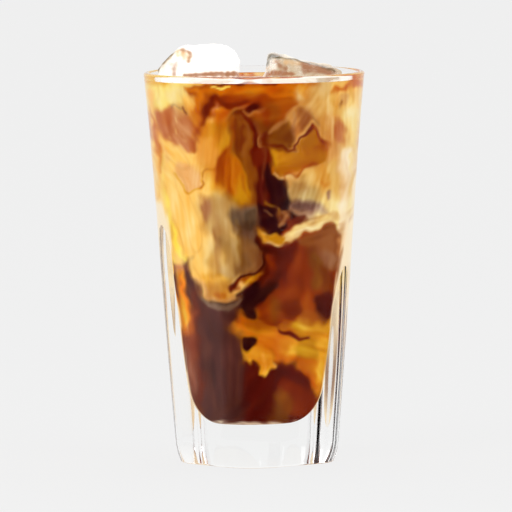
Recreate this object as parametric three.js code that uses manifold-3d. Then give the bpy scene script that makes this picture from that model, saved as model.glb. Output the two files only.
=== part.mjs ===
// Iced latte in a heavy tumbler with a round rim and a rounded square foot.
// Millimetres, +Z up, origin at the middle of the foot's underside, the drink is seen from -Y.

import * as THREE from "three";
import { mergeVertices } from "three/addons/utils/BufferGeometryUtils.js";
import Module from "manifold-3d";

// Outside of the glass. Roundness is 0 for a square section and 1 for a round one.
const glassHeight = 147;
const rimRadius = 41.5;
const rimFlare = 1.6;
const rimFlarePower = 5;
const cornerBow = 0.72;
const footHalfSide = 25.2;
const footRoundness = 0.53;
const roundingPower = 4;
const footTurnDegrees = 39.6;
const heelHeight = 8;
const heelInset = 1.2;

// Inside of the glass
const baseThickness = 15.9;
const cavityWaistHeight = 27;
const cavityWaistRadius = 20;
const cavitySag = 2.5;
const lipThickness = 1.9;
const cavityHeelRadius = 15.5;

// Drink
const levelBelowRim = 3.4;
const pieceGap = 0.3;

// How finely the round shapes are split
const segmentsAround = 72;
const heelSteps = 4;
const outsideSteps = 9;
const lipSteps = 5;
const insideSteps = 9;
const cavityHeelSteps = 8;
const iceSteps = 7;

// Ice that stands out of the drink. Width runs along X, depth along Y.
// A block's rounding changes from its left side to its right side, as it has melted unevenly.
// Its top and bottom are dished in the middle, and a lost corner is a plane: its direction and its distance
// from the block's middle.
const iceBlocks = {
  ice_left: {
    width: 30.5,
    depth: 23,
    height: 29,
    roundLeft: 6,
    roundRight: 8.5,
    footShrink: 0.12,
    dish: 0.4,
    lostCorner: { towards: [-1, 0.1, 1], distance: 13.7 },
    tilt: 0,
    turn: -8,
    place: [-20.6, 3.2, 142.4],
  },
  ice_right: {
    width: 27.5,
    depth: 24,
    height: 25,
    roundLeft: 2.8,
    roundRight: 4.6,
    footShrink: 0.08,
    dish: 1.3,
    lostCorner: { towards: [1, 0.2, 1], distance: 16.2 },
    tilt: 12,
    turn: 7,
    place: [17.1, -3, 138.8],
  },
};

const glassMaterial = new THREE.MeshStandardMaterial({ color: 0xf1f3f1, roughness: 0.04, metalness: 0 });
const drinkMaterial = new THREE.MeshStandardMaterial({ color: 0xb26a26, roughness: 0.3, metalness: 0 });
const iceMaterial = new THREE.MeshStandardMaterial({ color: 0xf6f1ea, roughness: 0.12, metalness: 0 });

const cavitySlope = (rimRadius - lipThickness - cavityWaistRadius) / (glassHeight - cavityWaistHeight);
const drinkLevel = glassHeight - levelBelowRim;

// How round the section is at a height: it stays square for most of the way up
function roundnessAt(z) {
  return footRoundness + (1 - footRoundness) * (z / glassHeight) ** roundingPower;
}

// Reach of a rounded square's corners for each unit of its half side
function cornerShare(roundness) {
  return Math.SQRT2 - (Math.SQRT2 - 1) * roundness;
}

// Half the width across the flats of the glass at a height, before the heel is rounded. The corners set the
// outline that is seen: nearly straight, with a little bow, and flared at the rim.
function halfSideAt(z) {
  const share = z / glassHeight;
  const footReach = footHalfSide * cornerShare(footRoundness);
  const straight = THREE.MathUtils.lerp(footReach, rimRadius - rimFlare, share);
  const bow = 4 * cornerBow * share * (1 - share);
  const cornerReach = straight + bow + rimFlare * share ** rimFlarePower;
  return cornerReach / cornerShare(roundnessAt(z));
}

// How much the heel draws the wall in at a height
function heelInsetAt(z) {
  if (z >= heelHeight) {
    return 0;
  }
  return heelInset * (1 - z / heelHeight) ** 2;
}

// Distance from the axis to the rounded square section in one direction
function outsideReach(z, angle) {
  const halfSide = halfSideAt(z) - heelInsetAt(z);
  const corner = halfSide * roundnessAt(z);
  const flat = halfSide - corner;
  const fromFace = angle - THREE.MathUtils.degToRad(footTurnDegrees);
  const along = Math.max(Math.abs(Math.cos(fromFace)), Math.abs(Math.sin(fromFace)));
  const across = Math.min(Math.abs(Math.cos(fromFace)), Math.abs(Math.sin(fromFace)));
  if (halfSide * (across / along) <= flat) {
    return halfSide / along;
  }
  return flat * (along + across) + Math.sqrt(corner ** 2 - (flat * (along - across)) ** 2);
}

// Radius of the round cavity at a height: a cone that sags in above its waist, most at two thirds of the way up
function cavityRadiusAt(z) {
  const share = THREE.MathUtils.clamp((z - cavityWaistHeight) / (glassHeight - cavityWaistHeight), 0, 1);
  const sag = 6.75 * cavitySag * share ** 2 * (1 - share);
  return cavityWaistRadius + cavitySlope * (z - cavityWaistHeight) - sag;
}

// One closed ring of points at a height, with its reach worked out for each direction
function ring(z, reach) {
  const points = [];
  for (let i = 0; i < segmentsAround; i += 1) {
    const angle = (2 * Math.PI * i) / segmentsAround;
    const r = reach(angle);
    points.push([r * Math.cos(angle), r * Math.sin(angle), z]);
  }
  return points;
}

// The rounded bottom of the cavity, from the wall down to the flat, as [radius, height] pairs
function cavityHeel(bottom, gap) {
  const lean = Math.atan(cavitySlope);
  const radius = cavityHeelRadius - gap;
  const centreHeight = bottom + radius;
  const centreRadius = cavityRadiusAt(centreHeight) - gap / Math.cos(lean) - radius / Math.cos(lean);
  const pairs = [];
  for (let i = 0; i <= cavityHeelSteps; i += 1) {
    const angle = -lean - (i / cavityHeelSteps) * (Math.PI / 2 - lean);
    pairs.push([centreRadius + radius * Math.cos(angle), centreHeight + radius * Math.sin(angle)]);
  }
  return pairs;
}

// A closed mesh through a stack of rings, shut at both ends by a fan round the axis
function loft(rings) {
  const positions = rings.flat(2);
  const index = [];
  const count = segmentsAround;
  for (let level = 0; level + 1 < rings.length; level += 1) {
    for (let i = 0; i < count; i += 1) {
      const next = (i + 1) % count;
      const a = level * count + i;
      const b = level * count + next;
      const c = a + count;
      const d = b + count;
      index.push(a, b, d, a, d, c);
    }
  }
  const firstCentre = rings.length * count;
  const lastCentre = firstCentre + 1;
  positions.push(0, 0, rings[0][0][2]);
  positions.push(0, 0, rings[rings.length - 1][0][2]);
  for (let i = 0; i < count; i += 1) {
    const next = (i + 1) % count;
    const top = (rings.length - 1) * count;
    index.push(firstCentre, next, i);
    index.push(lastCentre, top + i, top + next);
  }
  const geometry = new THREE.BufferGeometry();
  geometry.setAttribute("position", new THREE.Float32BufferAttribute(positions, 3));
  geometry.setIndex(index);
  return geometry;
}

// The glass, from the middle of its underside up the outside, over the lip and down the cavity
function glassGeometry() {
  const rings = [];
  for (let i = 0; i < heelSteps; i += 1) {
    const z = (heelHeight * i) / heelSteps;
    rings.push(ring(z, (angle) => outsideReach(z, angle)));
  }
  const lipRadius = lipThickness / 2;
  const lipHeight = glassHeight - lipRadius;
  for (let i = 0; i < outsideSteps; i += 1) {
    const z = heelHeight + ((lipHeight - heelHeight) * i) / outsideSteps;
    rings.push(ring(z, (angle) => outsideReach(z, angle)));
  }
  for (let i = 0; i <= lipSteps; i += 1) {
    const over = (Math.PI * i) / lipSteps;
    const inwards = (1 - Math.cos(over)) / 2;
    const inner = cavityRadiusAt(lipHeight);
    const z = lipHeight + lipRadius * Math.sin(over);
    rings.push(ring(z, (angle) => THREE.MathUtils.lerp(outsideReach(lipHeight, angle), inner, inwards)));
  }
  const heel = cavityHeel(baseThickness, 0);
  const wallFoot = heel[0][1];
  for (let i = 1; i < insideSteps; i += 1) {
    const z = lipHeight + ((wallFoot - lipHeight) * i) / insideSteps;
    rings.push(ring(z, () => cavityRadiusAt(z)));
  }
  for (const [radius, z] of heel) {
    rings.push(ring(z, () => radius));
  }
  return loft(rings);
}

// The whole drink, before room is cut for the ice
function drinkGeometry() {
  const heel = cavityHeel(baseThickness + pieceGap, pieceGap).reverse();
  const rings = heel.map(([radius, z]) => ring(z, () => radius));
  const wallFoot = heel[heel.length - 1][1];
  for (let i = 1; i <= insideSteps; i += 1) {
    const z = wallFoot + ((drinkLevel - wallFoot) * i) / insideSteps;
    rings.push(ring(z, () => cavityRadiusAt(z) - pieceGap));
  }
  return loft(rings);
}

// A block of ice with melted edges, narrower at its foot, grown on every side by an amount
function iceGeometry(block, grow) {
  const geometry = new THREE.BoxGeometry(2, 2, 2, iceSteps, iceSteps, iceSteps);
  geometry.deleteAttribute("normal");
  geometry.deleteAttribute("uv");
  const merged = mergeVertices(geometry);
  const position = merged.getAttribute("position");
  const half = new THREE.Vector3(block.width / 2, block.depth / 2, block.height / 2);
  const lost = new THREE.Vector3(...block.lostCorner.towards).normalize();
  const point = new THREE.Vector3();
  const inner = new THREE.Vector3();
  for (let i = 0; i < position.count; i += 1) {
    point.fromBufferAttribute(position, i);
    const round = THREE.MathUtils.mapLinear(point.x, -1, 1, block.roundLeft, block.roundRight);
    const foot = 1 - (block.footShrink * (1 - point.z)) / 2;
    const sunk = block.dish * (1 - point.x ** 2) * (1 - point.y ** 2) * point.z;
    point.multiply(half);
    const limit = half.clone().subScalar(round);
    inner.copy(point).clamp(limit.clone().negate(), limit);
    point.sub(inner).normalize().multiplyScalar(round + grow).add(inner);
    point.x *= foot;
    point.y *= foot;
    point.z -= sunk;
    const past = point.dot(lost) - (block.lostCorner.distance + grow);
    point.addScaledVector(lost, -Math.max(past, 0));
    position.setXYZ(i, point.x, point.y, point.z);
  }
  return merged;
}

// Sets a block down where it floats, tilted in the plane of the front and turned about Z
function icePlacement(block) {
  const tilt = THREE.MathUtils.degToRad(block.tilt);
  const turn = THREE.MathUtils.degToRad(block.turn);
  const turned = new THREE.Matrix4().makeRotationZ(turn);
  const tilted = new THREE.Matrix4().makeRotationY(tilt);
  const moved = new THREE.Matrix4().makeTranslation(...block.place);
  return moved.multiply(tilted).multiply(turned);
}

const library = await Module();
library.setup();

// A closed three.js mesh as a solid that can be cut
function asSolid(geometry) {
  const mesh = new library.Mesh({
    numProp: 3,
    vertProperties: new Float32Array(geometry.getAttribute("position").array),
    triVerts: new Uint32Array(geometry.getIndex().array),
  });
  return new library.Manifold(mesh);
}

// A cut solid back as a three.js mesh
function asGeometry(solid) {
  const mesh = solid.getMesh();
  const geometry = new THREE.BufferGeometry();
  geometry.setAttribute("position", new THREE.BufferAttribute(mesh.vertProperties, 3));
  geometry.setIndex(new THREE.BufferAttribute(mesh.triVerts, 1));
  return geometry;
}

// The drink with room for each block of ice that dips into it
function cutDrinkGeometry() {
  let solid = asSolid(drinkGeometry());
  for (const block of Object.values(iceBlocks)) {
    const room = iceGeometry(block, pieceGap);
    room.applyMatrix4(icePlacement(block));
    solid = solid.subtract(asSolid(room));
  }
  return asGeometry(solid);
}

function namedMesh(name, geometry, material) {
  const mesh = new THREE.Mesh(geometry, material);
  mesh.name = name;
  return mesh;
}

const latte = new THREE.Group();
latte.add(namedMesh("glass", glassGeometry(), glassMaterial));
latte.add(namedMesh("drink", cutDrinkGeometry(), drinkMaterial));
for (const [name, block] of Object.entries(iceBlocks)) {
  const ice = namedMesh(name, iceGeometry(block, 0), iceMaterial.clone());
  ice.applyMatrix4(icePlacement(block));
  latte.add(ice);
}

export default latte;
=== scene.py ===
"""Iced latte in a heavy tumbler: the looks of the glass, the marbled drink, the ice and its bubbles,
and the studio that they stand in.

Lengths are millimetres unless a name says otherwise, and become metres where a mesh is made.
"""
import math
from functools import partial

import bpy
import numpy as np
from mathutils import Matrix, Quaternion, Vector


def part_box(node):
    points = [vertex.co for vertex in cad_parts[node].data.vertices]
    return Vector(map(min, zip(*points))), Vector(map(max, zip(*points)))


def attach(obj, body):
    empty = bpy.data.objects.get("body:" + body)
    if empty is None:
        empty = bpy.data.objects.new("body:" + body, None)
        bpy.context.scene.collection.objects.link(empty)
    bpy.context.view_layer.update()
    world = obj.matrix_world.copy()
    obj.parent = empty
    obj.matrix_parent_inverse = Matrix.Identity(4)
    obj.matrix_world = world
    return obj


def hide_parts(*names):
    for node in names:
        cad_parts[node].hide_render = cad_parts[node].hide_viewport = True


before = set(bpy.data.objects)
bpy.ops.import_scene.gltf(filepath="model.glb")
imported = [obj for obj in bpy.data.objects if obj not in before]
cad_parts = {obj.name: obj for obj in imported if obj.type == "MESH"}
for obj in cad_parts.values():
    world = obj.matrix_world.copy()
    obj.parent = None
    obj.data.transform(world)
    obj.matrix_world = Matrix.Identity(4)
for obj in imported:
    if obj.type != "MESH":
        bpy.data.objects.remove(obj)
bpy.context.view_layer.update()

bl_info = {
    "name": "Iced Latte",
    "version": (1, 0, 0),
    "blender": (4, 5, 0),
    "location": "3D View > Sidebar > Iced Latte",
    "description": "Builds a marbled iced latte in a tumbler, with ice and a plain studio",
    "category": "Add Mesh",
}

MM = 0.001

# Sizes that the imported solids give
GLASS_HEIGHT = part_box("glass")[1].z / MM
DRINK_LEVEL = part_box("drink")[1].z / MM

# Outside of the glass: a rounded square foot that turns into a round rim, roundness 1 being round
RIM_RADIUS = 41.5
CORNER_BOW = 0.72
RIM_FLARE = 1.6
RIM_FLARE_POWER = 5
FOOT_HALF_SIDE = 25.2
FOOT_ROUNDNESS = 0.53
ROUNDING_POWER = 4
FOOT_TURN = math.radians(39.6)
HEEL_HEIGHT = 8.0
HEEL_INSET = 1.2
FOOT_EDGE_RADIUS = 0.8

# Inside of the glass: a round cavity that sags in a little, with a rounded bottom
BASE_THICKNESS = 15.9
CAVITY_WAIST_HEIGHT = 27.0
CAVITY_WAIST_RADIUS = 20.0
CAVITY_SAG = 2.5
LIP_THICKNESS = 1.9
CAVITY_HEEL_RADIUS = 15.5
CAVITY_HEEL_TOP = BASE_THICKNESS + CAVITY_HEEL_RADIUS
CAVITY_SLOPE = (RIM_RADIUS - LIP_THICKNESS - CAVITY_WAIST_RADIUS) / (GLASS_HEIGHT - CAVITY_WAIST_HEIGHT)

# How finely the pieces are split
GLASS_SIDES = 264
DRINK_FRONT_SIDES = 262
DRINK_BACK_SIDES = 82
DRINK_LEVELS = 210
HEEL_STEPS = 16
ICE_STEPS = 72
ICE_ROOM_STEPS = 38
CIRCLE_SIDES = 96

# What is nearer the axis than this, counted from the cavity's wall, belongs to the drink's open surface
SURFACE_MARGIN = 0.05
# The lip above this height over the drink reflects as bare glass does, and the wall below it has only
# a share of that, because studio light on it would veil the drink
BARE_LIP_GAP = 0.4
WALL_MIRROR = 0.05

# The camera of the photograph: the picture's width is measured where the glass stands
CAMERA_DISTANCE = 4000.0
CAMERA_ELEVATION = math.radians(4.1)
CAMERA_ROLL = math.radians(0.5)
CAMERA_AIM = (0.15, 0.0, 77.5)
PICTURE_WIDTH = 192.2

FRONT = -math.pi / 2
WATER_IOR = 1.33
DRINK_IOR = 1.34
GLASS_IOR = 1.5
ICE_IOR = 1.31

# Colours of the coffee and milk where they mix, as red, green and blue from 0 to 255. The lilac, grey and
# plum ones are painted shade, and glow is a painted glow of light that comes through the coffee
COFFEE_AND_MILK = {
    "cream": (250, 229, 192),
    "pale milk": (243, 214, 138),
    "straw": (248, 218, 112),
    "butter": (253, 224, 96),
    "gold": (248, 196, 98),
    "peach": (236, 176, 104),
    "sand": (220, 176, 106),
    "tan": (208, 149, 82),
    "rose tan": (196, 116, 80),
    "lilac": (176, 142, 122),
    "taupe": (124, 96, 76),
    "smoke": (80, 58, 40),
    "honey": (224, 154, 32),
    "glow": (240, 140, 22),
    "orange": (214, 122, 14),
    "ochre": (186, 118, 8),
    "olive": (146, 96, 14),
    "amber": (200, 98, 4),
    "chestnut": (160, 68, 4),
    "brown": (128, 62, 8),
    "cocoa": (138, 74, 32),
    "rust": (140, 44, 4),
    "coffee": (74, 33, 27),
    "maroon": (98, 18, 2),
    "wine": (72, 10, 4),
    "black coffee": (40, 4, 6),
    "thin coffee": (231, 194, 140),
    "grey veil": (208, 198, 188),
    "brown veil": (184, 150, 124),
    "plum veil": (166, 132, 142),
    "dark veil": (208, 172, 160),
}

# Fine threads that run through pale and through dark parts
THREAD_IN_MILK = (176, 98, 18)
THREAD_IN_COFFEE = (150, 78, 26)

# Painted reflection, near white, on the front half of the drink's open surface, and melting ice that is far
# from the viewer
PAINTED_SURFACE_REFLECTION = (255, 250, 240)
FAR_ICE = (240, 236, 226)


def shade(colour):
    """A colour of 0 to 255, or the name of one, as an array from 0 to 1."""
    return np.array(COFFEE_AND_MILK.get(colour, colour)) / 255


def blend(a, b, share):
    """From a at a share of 0 to b at 1."""
    return a + (b - a) * share


def soft_step(value):
    """0 below 0, 1 above 1 and smooth between."""
    t = np.clip(value, 0.0, 1.0)
    return t * t * (3 - 2 * t)


def wander(u, v, reach, seed, stretch=1.0):
    """A smooth random field of about -1 to 1, whose bumps are `reach` across and `stretch` times as tall."""
    dice = np.random.default_rng(seed)
    field = np.zeros_like(u)
    waves = 14
    for _ in range(waves):
        heading = dice.uniform(0, 2 * np.pi)
        pitch = 2 * np.pi / (reach * dice.uniform(1.0, 2.6))
        start = dice.uniform(0, 2 * np.pi)
        field += np.sin(pitch * (u * np.cos(heading) + v / stretch * np.sin(heading)) + start)
    return field / np.sqrt(waves / 2)


def smooth_route(points, closed, steps=5):
    """A curve through given points, which may carry a width as a third number."""
    p = np.array(points, float)
    if closed:
        p = np.vstack([p[-1], p, p[0], p[1]])
    else:
        p = np.vstack([2 * p[0] - p[1], p, 2 * p[-1] - p[-2]])
    a, b, c, d = p[:-3], p[1:-2], p[2:-1], p[3:]
    rows = []
    for t in np.linspace(0, 1, steps, endpoint=False):
        square = (2 * a - 5 * b + 4 * c - d) * t**2
        cube = (3 * b - a - 3 * c + d) * t**3
        rows.append(0.5 * (2 * b + (c - a) * t + square + cube))
    route = np.stack(rows, axis=1).reshape(-1, p.shape[1])
    return np.vstack([route, route[:1] if closed else p[-2:-1]])


def depth_inside(u, v, shape):
    """How far each place lies inside a stroke, in mm, negative outside."""
    kind, points = shape["kind"], shape["points"]
    route = smooth_route(points, kind != "strand")
    a, b = route[:-1], route[1:]
    along = b[:, :2] - a[:, :2]
    length = np.maximum((along**2).sum(1), 1e-9)
    du = u[:, None] - a[:, 0]
    dv = v[:, None] - a[:, 1]
    t = np.clip((du * along[:, 0] + dv * along[:, 1]) / length, 0, 1)
    off = np.hypot(du - t * along[:, 0], dv - t * along[:, 1])
    if kind == "strand":
        width = a[:, 2] + t * (b[:, 2] - a[:, 2])
        return (width / 2 - off).max(axis=1)
    crosses = (a[:, 1] > v[:, None]) != (b[:, 1] > v[:, None])
    rise = np.where(b[:, 1] == a[:, 1], 1e-9, b[:, 1] - a[:, 1])
    beyond = du < (b[:, 0] - a[:, 0]) * dv / rise
    inside = (crosses & beyond).sum(axis=1) % 2 == 1
    return np.where(inside, 1, -1) * off.min(axis=1)


def paint(u, v, strokes, ground, feather):
    """Lays the strokes over one another and gives a colour, 0 to 1, for each place.

    A feather above 0 moves soft edges outwards there, and below 0 inwards.
    """
    widest_feather = 1.6
    colour = np.empty((u.size, 3))
    colour[:] = shade(ground)
    for shape in strokes:
        points = np.array(shape["points"], float)
        margin = shape["soft"] * 1.5 + (points[:, 2].max() if points.shape[1] > 2 else 0) + 1.0
        low, high = points[:, :2].min(axis=0) - margin, points[:, :2].max(axis=0) + margin
        near = np.nonzero((u > low[0]) & (u < high[0]) & (v > low[1]) & (v < high[1]))[0]
        if near.size == 0:
            continue
        depth = depth_inside(u[near], v[near], shape) + feather[near] * min(shape["soft"], widest_feather)
        cover = soft_step(depth / shape["soft"] * 0.5 + 0.5) * shape["strength"]
        tint = shade(shape["colour"])
        if shape["kind"] == "veil":
            tint = tint * colour[near]
        colour[near] = blend(colour[near], tint, cover[:, None])
    return colour


def stroke(kind, colour, soft, *points, strength=1.0):
    """A stroke of a named colour: how wide its soft edge is, where it runs and how fully it covers."""
    return {"kind": kind, "colour": colour, "soft": soft, "strength": strength, "points": points}


pool = partial(stroke, "pool")
veil = partial(stroke, "veil")
strand = partial(stroke, "strand")
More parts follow.
